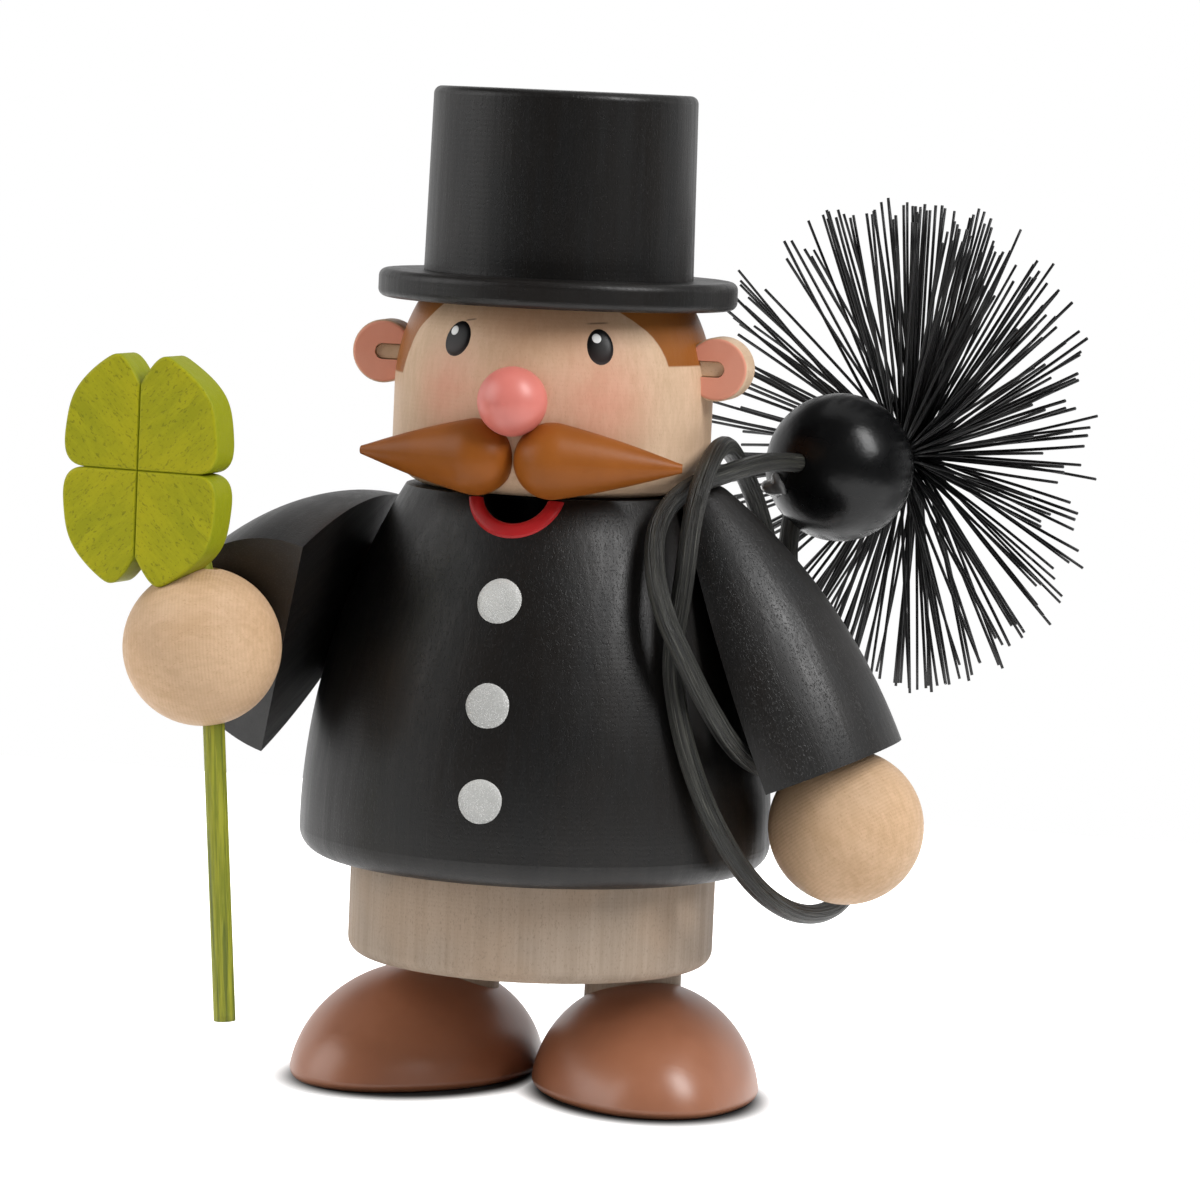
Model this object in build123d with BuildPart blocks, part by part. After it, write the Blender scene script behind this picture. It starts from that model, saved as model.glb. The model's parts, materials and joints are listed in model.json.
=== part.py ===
"""Small turned-wood incense smoker: a chimney sweep in two halves.

Millimetres, +Z up. The figure faces -Y and stands on z = 0. The pieces are modelled round the
turning axis and moved at the end, so that the origin lies under the middle of the whole figure.
"""

import os
from math import cos, pi, radians, sin, sqrt, tan

from build123d import *

# Place of the turning axis in the part's own frame
axis_x = 1.2
axis_y = 4.22

# Heights of the turned pieces, stacked from the floor
trousers_z = 13.4
hem_z = 23.4
coat_height = 37.1
head_height = 18.5
brim_thick = 2.8
crown_height = 18.2

# Shoes: half eggs, toes turned out
shoe_length = 34.0
shoe_width = 23.0
shoe_height = 10.9
toe_radius = 8.0
right_shoe_x = -12.5
right_shoe_y = 5.3
left_shoe_x = 11.5
left_shoe_y = 4.3
shoe_splay = 18.0
sole_edge = 0.8

# Legs
leg_radius = 4.9
right_leg_x = -10.0
left_leg_x = 9.0
leg_y = 8.0
leg_in_shoe = 6.5
leg_in_trousers = 6.0

# Trousers, with the spigot that the coat stands over
trousers_radius = 18.3
trousers_edge = 1.5
spigot_radius = 13.5
spigot_height = 7.0
spigot_edge = 0.6
spigot_clearance = 0.08
draught_radius = 1.6
draught_y = 10.6

# Incense dish and its tack
dish_radius = 8.0
dish_thick = 0.5
dish_rim = 1.6
tack_head_radius = 1.6
tack_head_thick = 0.6
tack_radius = 0.6
tack_length = 5.0

# Coat: one long arc from the hem to the neck
coat_radius = 23.6
coat_top_radius = 14.3
hem_edge = 2.5
coat_roof = 12.5
flue_radius = 3.4
flue_y = -8.2
mouth_radius = 3.3
mouth_rise = 0.7
mouth_slope = 12.0

# Head
head_radius = 15.85
head_foot_radius = 11.5
temple_drop = 8.5
head_top_radius = 13.6
neck_dowel_radius = 2.5
neck_dowel_in = 6.0

# Hat
brim_radius = 17.85
brim_edge = 0.8
crown_radius = 13.4
crown_top_radius = 13.1
crown_edge = 0.8
tenon_radius = 5.0
tenon_in_head = 5.0

# Face pieces
nose_radius = 3.4
nose_y = 17.1
nose_drop = 9.0
nose_peg_radius = 1.2
nose_peg_in = 4.0
ear_radius = 3.15
ear_thick = 3.9
ear_x = 17.0
ear_y = -1.0
ear_drop = 5.6
ear_edge = 0.4
ear_slot = 1.6
ear_slot_depth = 1.2
moustache_gap = 0.24
moustache_y = -16.2
moustache_rise = 3.9
moustache_tip_x = 16.1
moustache_tip_y = -12.6
moustache_tip_rise = 3.65
moustache_radius = 3.75
moustache_ease = 11.5
moustache_tip_radius = 0.35

# Arms: halves of one turned bell, each with its own lean, turn and swing
left_cuff_radius = 11.5
right_cuff_radius = 12.0
sleeve_length = 30.5
shoulder_radius = 2.9
shoulder_round = 3.0
cuff_edge = 0.4
seat_depth = 0.2
left_lean = 23.0
left_turn = -2.2
left_swing = -1.4
left_dowel_y = -1.4
left_dowel_drop = 7.6
right_lean = 17.0
right_turn = 2.7
right_swing = 68.3
right_dowel_y = 1.1
right_dowel_drop = 8.5
dowel_from_cuff = 21.2
arm_dowel_radius = 1.75
arm_dowel_in_coat = 3.6
arm_dowel_in_sleeve = 4.0

# Hands
hand_radius = 7.7
hand_out = 6.2
left_hand_side = 3.5
left_hand_up = 0.0
right_hand_side = 5.9
right_hand_up = 1.1
wrist_radius = 1.5
wrist_in_hand = 4.5
wrist_in_sleeve = 4.5

# Clover
stem_radius = 1.1
stem_side = -0.18
stem_back = 0.12
stem_over_hand = 13.45
stem_lean = -4.4
stem_length = 50.0
leaf_round = 2.3
inner_leaf_width = 8.4
outer_leaf_width = 7.9
leaf_widest = 3.9
leaf_shoulder = 1.0
leaf_shoulder_height = 7.5
leaf_height = 10.65
leaf_crest = 3.7
leaf_seam = 8.3
leaf_thick = 4.0
leaf_edge = 0.35
clover_turn = 9.0
clover_over_stem = 3.5
clover_side = 4.9
stem_groove = 0.3

# Sweep's line: ball, cane and brush
ball_radius = 7.6
ball_at = (25.3, 21.5, 62.8)
cane_diameter = 2.1
brush_axis = (0.45, 0.89, 0.08)
pin_radius = 0.7
pin_in_ball = 4.0
hub_radius = 2.0
hub_gap = 1.6
pin_end = 0.5
bristle_rows = 11
bristles_in_row = 29
bristle_thick = 0.28
bristle_root = 1.5
bristle_length = 23.8
row_pitch = 0.45
front_fan = 5.0
back_fan = 9.0

# Route of the cane, from the ball over the shoulder and twice round the arm to the ball
cane_points = [
    (22.75, 17.10, 63.20),
    (21.13, 10.90, 63.94),
    (19.76, 3.49, 63.76),
    (17.81, -2.88, 62.98),
    (15.22, -7.09, 61.90),
    (13.47, -11.26, 58.85),
    (14.04, -14.32, 54.57),
    (15.83, -16.83, 50.31),
    (18.08, -17.18, 46.24),
    (20.27, -15.62, 41.64),
    (22.44, -11.98, 37.02),
    (24.31, -5.55, 34.41),
    (24.45, 4.55, 34.29),
    (23.57, 11.12, 36.79),
    (22.09, 14.92, 43.04),
    (20.45, 15.19, 51.67),
    (18.80, 11.64, 59.66),
    (17.34, 6.00, 64.69),
    (17.62, -1.33, 66.20),
    (17.56, -7.50, 64.42),
    (16.85, -10.80, 59.37),
    (16.88, -13.06, 52.88),
    (16.29, -14.88, 46.00),
    (17.54, -15.61, 39.76),
    (19.55, -15.04, 33.57),
    (22.17, -13.45, 27.98),
    (25.19, -10.14, 22.99),
    (28.00, -2.99, 19.80),
    (30.60, 5.00, 19.90),
    (31.40, 12.20, 24.20),
    (29.60, 17.40, 31.60),
    (26.20, 19.40, 40.00),
    (22.60, 19.40, 47.60),
    (20.20, 19.00, 53.60),
    (21.20, 20.20, 59.60),
]

os.makedirs("parts", exist_ok=True)
stand = Location((axis_x, axis_y, 0))


def write(piece, name):
    piece.label = name
    export_step(piece.moved(stand), f"parts/{name}.step")


# Heights and radii that follow from the values above
neck_z = hem_z + coat_height
chamber_top_z = neck_z - coat_roof
mouth_z = neck_z + mouth_rise
brim_z = neck_z + head_height
brim_top_z = brim_z + brim_thick
head_straight_z = brim_z - temple_drop
nose_z = brim_z - nose_drop
ear_z = brim_z - ear_drop
spigot_top_z = hem_z + spigot_height
dish_z = spigot_top_z
socket_radius = spigot_radius + spigot_clearance
coat_widest_z = hem_z + hem_edge
coat_rise = neck_z - coat_widest_z
coat_draw_in = coat_radius - coat_top_radius
coat_arc = (coat_rise**2 + coat_draw_in**2) / (2 * coat_draw_in)
head_foot_round = head_radius - head_foot_radius


def coat_radius_at(z):
    rise = z - coat_widest_z
    return coat_radius - coat_arc + sqrt(coat_arc**2 - rise**2)


# Shoes: an egg turned about its long axis, sawn flat for the sole
egg_z = shoe_height - shoe_width / 2
toe_x = shoe_length / 2 - toe_radius
flank_radius = (toe_x**2 + shoe_width**2 / 4 - toe_radius**2) / (shoe_width - 2 * toe_radius)
toe_share = toe_radius / (flank_radius - toe_radius)
toe_end = (toe_x * (1 + toe_share), (flank_radius - shoe_width / 2) * toe_share)
for side, hand, shoe_x, shoe_y, leg_x in (
    (-1, "right", right_shoe_x, right_shoe_y, right_leg_x),
    (1, "left", left_shoe_x, left_shoe_y, left_leg_x),
):
    shoe_plane = Plane(
        origin=(shoe_x, shoe_y, egg_z),
        x_dir=(side * sin(radians(shoe_splay)), -cos(radians(shoe_splay)), 0),
        z_dir=(0, 0, 1),
    )
    with BuildPart() as shoe:
        with BuildSketch(shoe_plane):
            with BuildLine():
                toe = TangentArc((shoe_length / 2, 0), toe_end, tangent=(0, 1))
                flank = TangentArc(toe @ 1, (-toe_end[0], toe_end[1]), tangent=toe % 1)
                heel = TangentArc(flank @ 1, (-shoe_length / 2, 0), tangent=flank % 1)
                Line(heel @ 1, toe @ 0)
            make_face()
        revolve(axis=Axis(shoe_plane.origin, shoe_plane.x_dir))
        split(bisect_by=Plane.XY)
        fillet(shoe.faces().sort_by(Axis.Z)[0].edges(), sole_edge)
        with BuildSketch(Plane.XY.offset(shoe_height - leg_in_shoe)):
            with Locations((leg_x, leg_y)):
                Circle(leg_radius)
        extrude(amount=shoe_height, mode=Mode.SUBTRACT)
    write(shoe.part, f"shoe_{hand}")

    with BuildPart() as leg:
        with BuildSketch(Plane.XY.offset(shoe_height - leg_in_shoe)):
            with Locations((leg_x, leg_y)):
                Circle(leg_radius)
        extrude(amount=trousers_z + leg_in_trousers - shoe_height + leg_in_shoe)
    write(leg.part, f"leg_{hand}")

# Trousers and spigot, turned in one
with BuildPart() as trousers:
    with BuildSketch(Plane.XZ):
        with BuildLine():
            Polyline(
                (0, trousers_z),
                (trousers_radius, trousers_z),
                (trousers_radius, hem_z),
                (spigot_radius, hem_z),
                (spigot_radius, spigot_top_z),
                (0, spigot_top_z),
                close=True,
            )
        trousers_face = make_face()
        fillet(trousers_face.vertices().sort_by(Axis.X)[-2:].sort_by(Axis.Y)[0], trousers_edge)
    revolve(axis=Axis.Z)
    chamfer(trousers.faces().sort_by(Axis.Z)[-1].edges(), spigot_edge)
    with Locations(Plane.XY.offset(trousers_z).rotated((180, 0, 0))):
        with Locations((right_leg_x, -leg_y), (left_leg_x, -leg_y)):
            Hole(leg_radius, depth=leg_in_trousers)
    with BuildSketch(Plane.XY.offset(trousers_z)):
        with Locations((0, draught_y), (0, -draught_y)):
            Circle(draught_radius)
    extrude(amount=spigot_top_z - trousers_z, mode=Mode.SUBTRACT)
    with BuildSketch(Plane.XY.offset(dish_z)):
        Circle(tack_radius)
    extrude(amount=dish_thick - tack_length, mode=Mode.SUBTRACT)
write(trousers.part, "trousers")

with BuildPart() as incense_dish:
    with BuildSketch(Plane.XZ):
        with BuildLine():
            Polyline(
                (tack_radius, dish_z),
                (dish_radius, dish_z),
                (dish_radius, dish_z + dish_rim),
                (dish_radius - dish_thick, dish_z + dish_rim),
                (dish_radius - dish_thick, dish_z + dish_thick),
                (tack_radius, dish_z + dish_thick),
                close=True,
            )
        make_face()
    revolve(axis=Axis.Z)
write(incense_dish.part, "incense_dish")

with BuildPart() as dish_tack:
    with BuildSketch(Plane.XY.offset(dish_z + dish_thick)):
        Circle(tack_radius)
    extrude(amount=-tack_length)
    with BuildSketch(Plane.XY.offset(dish_z + dish_thick)):
        Circle(tack_head_radius)
    extrude(amount=tack_head_thick, taper=20)
write(dish_tack.part, "dish_tack")


# Arms: frames of the two sleeves, seated on the side of the coat
def arm_frame(side, lean, turn, swing, dowel):
    lean_cos, lean_sin = cos(radians(lean)), sin(radians(lean))
    swing_cos, swing_sin = cos(radians(swing)), sin(radians(swing))
    outward = Vector(side * lean_cos, 0, lean_sin)
    down = Vector(side * lean_sin, 0, -lean_cos)
    forward = Vector(0, -1, 0)
    along = down * swing_cos + forward * swing_sin
    across = forward * swing_cos - down * swing_sin
    turned = Axis.Z, side * turn
    seat_z = coat_widest_z + coat_arc * lean_sin
    touch = Vector(side * coat_radius_at(seat_z), 0, seat_z)
    touch, outward, along, across = (v.rotate(*turned) for v in (touch, outward, along, across))
    shoulder = Vector(side * coat_radius_at(dowel[1]), *dowel)
    sunk = (shoulder - touch).dot(outward) + seat_depth
    shoulder = shoulder - outward * sunk
    return shoulder + along * dowel_from_cuff, along, across, outward


arms = {
    "right": (
        -1,
        *arm_frame(-1, right_lean, right_turn, right_swing, (right_dowel_y, neck_z - right_dowel_drop)),
        right_cuff_radius,
        right_hand_side,
        right_hand_up,
    ),
    "left": (
        1,
        *arm_frame(1, left_lean, left_turn, left_swing, (left_dowel_y, neck_z - left_dowel_drop)),
        left_cuff_radius,
        left_hand_side,
        left_hand_up,
    ),
}
hand_centres = {
    hand: cuff + along * hand_out + outward * out + across * up
    for hand, (side, cuff, along, across, outward, cuff_radius, out, up) in arms.items()
}

# Coat: turned shell with the smoke chamber bored from below
with BuildPart() as coat:
    with BuildSketch(Plane.XZ):
        with BuildLine():
            foot = Line((socket_radius, hem_z), (coat_radius - hem_edge, hem_z))
            hem = TangentArc(foot @ 1, (coat_radius, coat_widest_z), tangent=foot % 1)
            back = TangentArc(hem @ 1, (coat_top_radius, neck_z), tangent=hem % 1)
            Polyline(
                back @ 1,
                (0, neck_z),
                (0, chamber_top_z),
                (socket_radius, chamber_top_z),
                foot @ 0,
            )
        make_face()
    revolve(axis=Axis.Z)
    for side, cuff, along, across, outward, cuff_radius, out, up in arms.values():
        seat = Plane(origin=cuff - along * dowel_from_cuff, x_dir=across, z_dir=outward)
        with BuildSketch(seat):
            Rectangle(2 * cuff_radius, 2 * dowel_from_cuff)
        extrude(amount=coat_radius / 2, mode=Mode.SUBTRACT)
        with BuildSketch(seat):
            Circle(arm_dowel_radius)
        extrude(amount=-arm_dowel_in_coat, mode=Mode.SUBTRACT)
    with BuildSketch(Plane.XY.offset(neck_z)):
        Circle(neck_dowel_radius)
    extrude(amount=-neck_dowel_in, mode=Mode.SUBTRACT)
    with BuildSketch(Plane.XY.offset(chamber_top_z)):
        with Locations((0, flue_y)):
            Circle(flue_radius)
    mouth_run = coat_top_radius + flue_y
    flue_top_z = mouth_z - mouth_run * tan(radians(mouth_slope))
    extrude(amount=flue_top_z - chamber_top_z, mode=Mode.SUBTRACT)
    mouth_plane = Plane(
        origin=(0, -coat_top_radius, mouth_z),
        x_dir=(1, 0, 0),
        z_dir=(0, cos(radians(mouth_slope)), -sin(radians(mouth_slope))),
    )
    with BuildSketch(mouth_plane):
        Circle(mouth_radius)
    extrude(amount=mouth_run / cos(radians(mouth_slope)), mode=Mode.SUBTRACT)
    with BuildSketch(mouth_plane):
        Circle(mouth_radius)
    extrude(amount=-coat_radius, mode=Mode.SUBTRACT)
write(coat.part, "coat")

with BuildPart() as neck_dowel:
    with BuildSketch(Plane.XY.offset(neck_z - neck_dowel_in)):
        Circle(neck_dowel_radius)
    extrude(amount=2 * neck_dowel_in)
write(neck_dowel.part, "neck_dowel")

# Head, before it is drilled: the face pieces are scribed to it
with BuildPart() as head_block:
    with BuildSketch(Plane.XZ):
        with BuildLine():
            jaw = Line((head_foot_radius, neck_z), (0, neck_z))
            cheek = RadiusArc(jaw @ 0, (head_radius, neck_z + head_foot_round), -head_foot_round)
            temple = Line(cheek @ 1, (head_radius, head_straight_z))
            scalp = TangentArc(temple @ 1, (head_top_radius, brim_z), tangent=temple % 1)
            Polyline(scalp @ 1, (0, brim_z), jaw @ 1)
        make_face()
    revolve(axis=Axis.Z)

nose_plane = Plane(origin=(0, -nose_y, nose_z), x_dir=(1, 0, 0), z_dir=(0, 1, 0))
nose_reach = nose_y - head_radius + nose_peg_in
with BuildPart() as head:
    add(head_block.part)
    for height, depth, radius in (
        (neck_z, neck_dowel_in, neck_dowel_radius),
        (brim_z, -tenon_in_head, tenon_radius),
    ):
        with BuildSketch(Plane.XY.offset(height)):
            Circle(radius)
        extrude(amount=depth, mode=Mode.SUBTRACT)
    with BuildSketch(nose_plane):
        Circle(nose_peg_radius)
    extrude(amount=nose_reach, mode=Mode.SUBTRACT)
write(head.part, "head")

with BuildPart() as nose:
    with Locations(nose_plane):
        Sphere(nose_radius)
    add(head_block.part, mode=Mode.SUBTRACT)
    with BuildSketch(nose_plane):
        Circle(nose_peg_radius)
    extrude(amount=nose_reach)
write(nose.part, "nose")

for side, hand in ((-1, "right"), (1, "left")):
    ear_plane = Plane(
        origin=(side * ear_x, ear_y - ear_thick / 2, ear_z), x_dir=(-side, 0, 0), z_dir=(0, 1, 0)
    )
    with BuildPart() as ear:
        with BuildSketch(ear_plane):
            Circle(ear_radius)
        extrude(amount=ear_thick)
        fillet(ear.edges().filter_by(GeomType.CIRCLE), ear_edge)
        with BuildSketch(ear_plane):
            with Locations((ear_x / 2, 0)):
                SlotOverall(ear_x + ear_slot, ear_slot)
        extrude(amount=ear_slot_depth, mode=Mode.SUBTRACT)
        add(head_block.part, mode=Mode.SUBTRACT)
    write(ear.part, f"ear_{hand}")

    drop_in = Vector(side * moustache_gap / 2, moustache_y, neck_z + moustache_rise)
    drop_out = Vector(side * moustache_tip_x, moustache_tip_y, neck_z + moustache_tip_rise)
    drop_run = drop_out - drop_in
    with BuildPart() as moustache:
        with BuildSketch(Plane(origin=drop_in, x_dir=drop_run, z_dir=(0, 0, 1))):
            with BuildLine():
                blunt = CenterArc(
                    (moustache_radius, 0), moustache_radius, 180, -90 - moustache_ease
                )
                taper = TangentArc(
                    blunt @ 1, (drop_run.length, moustache_tip_radius), tangent=blunt % 1
                )
                Polyline(taper @ 1, (drop_run.length, 0), blunt @ 0)
            make_face()
        revolve(axis=Axis(drop_in, drop_run))
        add(head_block.part, mode=Mode.SUBTRACT)
        add(nose.part, mode=Mode.SUBTRACT)
    write(moustache.part, f"moustache_{hand}")

# Hat
with BuildPart() as hat_brim:
    with BuildSketch(Plane.XY.offset(brim_z)):
        Circle(brim_radius)
        Circle(tenon_radius, mode=Mode.SUBTRACT)
    extrude(amount=brim_thick)
    fillet(hat_brim.edges().group_by(SortBy.LENGTH)[-1], brim_edge)
write(hat_brim.part, "hat_brim")

with BuildPart() as hat_crown:
    with BuildSketch(Plane.XZ):
        with BuildLine():
            Polyline(
                (0, brim_top_z),
                (crown_radius, brim_top_z),
                (crown_top_radius, brim_top_z + crown_height),
                (0, brim_top_z + crown_height),
                close=True,
            )
        make_face()
    revolve(axis=Axis.Z)
    fillet(hat_crown.faces().sort_by(Axis.Z)[-1].edges(), crown_edge)
    with BuildSketch(Plane.XY.offset(brim_top_z)):
        Circle(tenon_radius)
    extrude(amount=-brim_thick - tenon_in_head)
write(hat_crown.part, "hat_crown")

# Clover stem, straight through the right hand
with BuildPart() as clover_stem:
    stem_dir = Vector(tan(radians(stem_lean)), 0, 1).normalized()
    stem_top = hand_centres["right"] + Vector(stem_side, stem_back, stem_over_hand)
    with BuildSketch(Plane(origin=stem_top, x_dir=(0, 1, 0), z_dir=stem_dir)):
        Circle(stem_radius)
    extrude(amount=-stem_length)
write(clover_stem.part, "clover_stem")

# Clover: four leaves glued edge to edge, the stem let into the back of the lower inner one
clover_out = Vector(-sin(radians(clover_turn)), -cos(radians(clover_turn)), 0)
clover_right = Vector(cos(radians(clover_turn)), -sin(radians(clover_turn)), 0)
clover_centre = (
    stem_top
    + Vector(tan(radians(stem_lean)), 0, 1) * clover_over_stem
    + clover_out * (stem_radius - stem_groove)
    - clover_right * clover_side
)
for across_sign, height_sign, place, leaf_width in (
    (1, 1, "upper_inner", inner_leaf_width),
    (-1, 1, "upper_outer", outer_leaf_width),
    (1, -1, "lower_inner", inner_leaf_width),
    (-1, -1, "lower_outer", outer_leaf_width),
):
    facing = across_sign * height_sign
    leaf_plane = Plane(origin=clover_centre, x_dir=clover_right * across_sign, z_dir=clover_out * facing)
    with BuildPart() as leaf:
        with BuildSketch(leaf_plane):
            with BuildLine():
                level = Line((0, 0), (leaf_width - leaf_round, 0))
                lobe = Spline(
                    level @ 1,
                    (leaf_width, leaf_widest),
                    (leaf_width - leaf_shoulder, leaf_shoulder_height),
                    (leaf_crest, leaf_height),
                    (0, leaf_seam),
                    tangents=[(1, 0), (-0.55, -1)],
                )
                Line(lobe @ 1, (0, 0))
            make_face()
        extrude(amount=facing * leaf_thick)
        flats = leaf.faces().sort_by(Axis(clover_centre, clover_out))
        fillet(flats[0].edges() + flats[-1].edges(), leaf_edge)
        if place == "lower_inner":
            add(clover_stem.part, mode=Mode.SUBTRACT)
            resting_leaf = leaf
    write(leaf.part, f"clover_leaf_{place}")

# Sleeves, their dowels, pegs and hands
for hand, (side, cuff, along, across, outward, cuff_radius, out, up) in arms.items():
    centre = hand_centres[hand]
    shoulder = cuff - along * dowel_from_cuff
    wrist_plane = Plane(origin=centre, x_dir=across, z_dir=along)
    with BuildPart() as sleeve:
        with BuildSketch(Plane(origin=cuff, x_dir=across, z_dir=across.cross(-along))):
            with BuildLine():
                opening = Line((0, 0), (cuff_radius, 0))
                outline = TangentArc(opening @ 1, (shoulder_radius, sleeve_length), tangent=(0, 1))
                Polyline(outline @ 1, (0, sleeve_length), (0, 0))
            bell = make_face()
            fillet(bell.vertices().sort_by(Axis.Y)[-2:].sort_by(Axis.X)[-1], shoulder_round)
            fillet(bell.vertices().sort_by(Axis.X)[-1], cuff_edge)
        revolve(axis=Axis(cuff, along * -side), revolution_arc=180)
        with BuildSketch(Plane(origin=shoulder, x_dir=across, z_dir=outward)):
            Circle(arm_dowel_radius)
        extrude(amount=arm_dowel_in_sleeve, mode=Mode.SUBTRACT)
        with Locations(centre):
            Sphere(hand_radius, mode=Mode.SUBTRACT)
        with BuildSketch(wrist_plane):
            Circle(wrist_radius)
        extrude(amount=-hand_radius - wrist_in_sleeve, mode=Mode.SUBTRACT)
    write(sleeve.part, f"sleeve_{hand}")

    with BuildPart() as arm_dowel:
        with BuildSketch(Plane(origin=shoulder - outward * arm_dowel_in_coat, x_dir=across, z_dir=outward)):
            Circle(arm_dowel_radius)
        extrude(amount=arm_dowel_in_coat + arm_dowel_in_sleeve)
    write(arm_dowel.part, f"arm_dowel_{hand}")

    with BuildPart() as wrist_peg:
        with BuildSketch(wrist_plane.offset(wrist_in_hand - hand_radius)):
            Circle(wrist_radius)
        extrude(amount=-wrist_in_hand - wrist_in_sleeve)
    write(wrist_peg.part, f"wrist_peg_{hand}")

    with BuildPart() as hand_ball:
        with Locations(centre):
            Sphere(hand_radius)
        add(wrist_peg.part, mode=Mode.SUBTRACT)
        if hand == "right":
            add(clover_stem.part, mode=Mode.SUBTRACT)
            add(resting_leaf.part, mode=Mode.SUBTRACT)
    write(hand_ball.part, f"hand_{hand}")

# Cane: straight runs joined by tangent bends
bends = []
for before, at, after in zip(cane_points, cane_points[1:], cane_points[2:]):
    run_in = Vector(at) - Vector(before)
    run_out = Vector(after) - Vector(at)
    half_turn = radians(run_in.get_angle(run_out)) / 2
    bends.append(0.45 * min(run_in.length, run_out.length) / tan(half_turn))
with BuildPart() as sweep_cane:
    with BuildLine() as route:
        FilletPolyline(*cane_points, radius=bends)
    cane_path = route.wire()
    with BuildSketch(Plane(origin=cane_path @ 0, z_dir=cane_path % 0)):
        Circle(cane_diameter / 2)
    sweep(path=cane_path)
write(sweep_cane.part, "sweep_cane")

# Brush: hub on a pin, rows of bristles fanned like a star
brush_dir = Vector(brush_axis).normalized()
brush_plane = Plane(origin=ball_at, x_dir=brush_dir.cross(Vector(0, 0, 1)), z_dir=brush_dir)
hub_start = ball_radius + hub_gap
hub_length = row_pitch * (bristle_rows + 1)
with BuildPart() as brush_pin:
    with BuildSketch(brush_plane.offset(ball_radius - pin_in_ball)):
        Circle(pin_radius)
    extrude(amount=pin_in_ball + hub_gap + hub_length + pin_end)
write(brush_pin.part, "brush_pin")

roots = []
for row in range(bristle_rows):
    fan = -front_fan + (front_fan + back_fan) * row / (bristle_rows - 1)
    for place in range(bristles_in_row):
        turn = 360 * (place + 0.5 * (row % 2)) / bristles_in_row
        roots.append(
            Location((0, 0, hub_start + row_pitch * (row + 1)))
            * Location((0, 0, 0), (0, 0, turn))
            * Location((bristle_root, 0, 0), (0, 90 - fan, 0))
        )
with BuildPart() as brush_bristles:
    with Locations(brush_plane.offset(hub_start)):
        Cylinder(hub_radius, hub_length, align=(Align.CENTER, Align.CENTER, Align.MIN))
    with Locations(brush_plane):
        with Locations(*roots):
            Box(
                bristle_thick,
                bristle_thick,
                bristle_length,
                align=(Align.CENTER, Align.CENTER, Align.MIN),
            )
    add(brush_pin.part, mode=Mode.SUBTRACT)
write(brush_bristles.part, "brush_bristles")

with BuildPart() as sweep_ball:
    with Locations(ball_at):
        Sphere(ball_radius)
    add(sweep_cane.part, mode=Mode.SUBTRACT)
    add(brush_pin.part, mode=Mode.SUBTRACT)
write(sweep_ball.part, "sweep_ball")

# Proof of the cane: bends, room between its own turns, and its volume
steps = int(cane_path.length)
marks = [cane_path @ (step / steps) for step in range(steps + 1)]
room = min(
    (marks[i] - marks[j]).length
    for i in range(steps + 1)
    for j in range(i + int(6 * cane_diameter), steps + 1)
)
section = pi * cane_diameter**2 / 4
print("cane length", round(cane_path.length, 1))
print("cane bends from", round(min(bends), 2), "to", round(max(bends), 2))
print("cane least gap to itself", round(room - cane_diameter, 2))
filled = sweep_cane.part.volume / (section * cane_path.length)
print("cane volume over section times length", round(filled, 4))
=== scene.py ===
import json
import math
import random

import bpy
import bmesh
from mathutils import Matrix, Vector

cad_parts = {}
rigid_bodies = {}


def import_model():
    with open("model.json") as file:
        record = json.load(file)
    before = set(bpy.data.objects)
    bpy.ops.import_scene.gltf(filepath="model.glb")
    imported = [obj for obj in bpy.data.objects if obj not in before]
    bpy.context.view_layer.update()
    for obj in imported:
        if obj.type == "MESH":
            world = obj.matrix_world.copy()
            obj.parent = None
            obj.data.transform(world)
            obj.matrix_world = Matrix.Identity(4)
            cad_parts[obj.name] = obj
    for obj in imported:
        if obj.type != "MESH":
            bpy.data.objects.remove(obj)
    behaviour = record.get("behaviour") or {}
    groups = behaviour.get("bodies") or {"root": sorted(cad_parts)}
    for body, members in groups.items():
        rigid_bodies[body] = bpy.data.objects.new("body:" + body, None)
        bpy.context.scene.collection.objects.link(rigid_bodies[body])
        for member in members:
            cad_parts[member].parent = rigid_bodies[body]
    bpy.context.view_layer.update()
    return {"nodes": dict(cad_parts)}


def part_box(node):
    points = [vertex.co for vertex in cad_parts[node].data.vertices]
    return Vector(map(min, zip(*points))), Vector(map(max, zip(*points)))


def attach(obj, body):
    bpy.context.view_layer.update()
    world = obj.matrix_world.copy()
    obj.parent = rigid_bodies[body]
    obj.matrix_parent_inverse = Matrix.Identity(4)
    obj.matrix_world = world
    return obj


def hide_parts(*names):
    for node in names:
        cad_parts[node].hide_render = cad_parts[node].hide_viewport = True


for old in list(bpy.data.objects):
    bpy.data.objects.remove(old)
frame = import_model()
nodes = frame["nodes"]
scene = bpy.context.scene
scene.view_settings.view_transform = "Standard"
print("frame loaded:", len(nodes), "nodes")

mm = 0.001
toMm = 1 / mm
upward = Vector((0, 0, 1))
axisX, axisY = 1.2, 4.22  # the turning axis in the part's frame, mm

# the turned outlines that paint is laid on, as in the part, mm
coatTurning = {"radius": 23.6, "arc": 69.01, "widest": 25.9}
headTurning = {"radius": 15.85, "chin": 4.35, "chinTop": 64.85, "domeFoot": 70.5, "dome": 17.18}


def place(x, y, z):  # a point given round the turning axis, in mm
    return Vector(((x + axisX) * mm, (y + axisY) * mm, z * mm))


def coatRadius(z):
    c = coatTurning
    return c["radius"] - c["arc"] + math.sqrt(c["arc"] ** 2 - (z - c["widest"]) ** 2)


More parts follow.
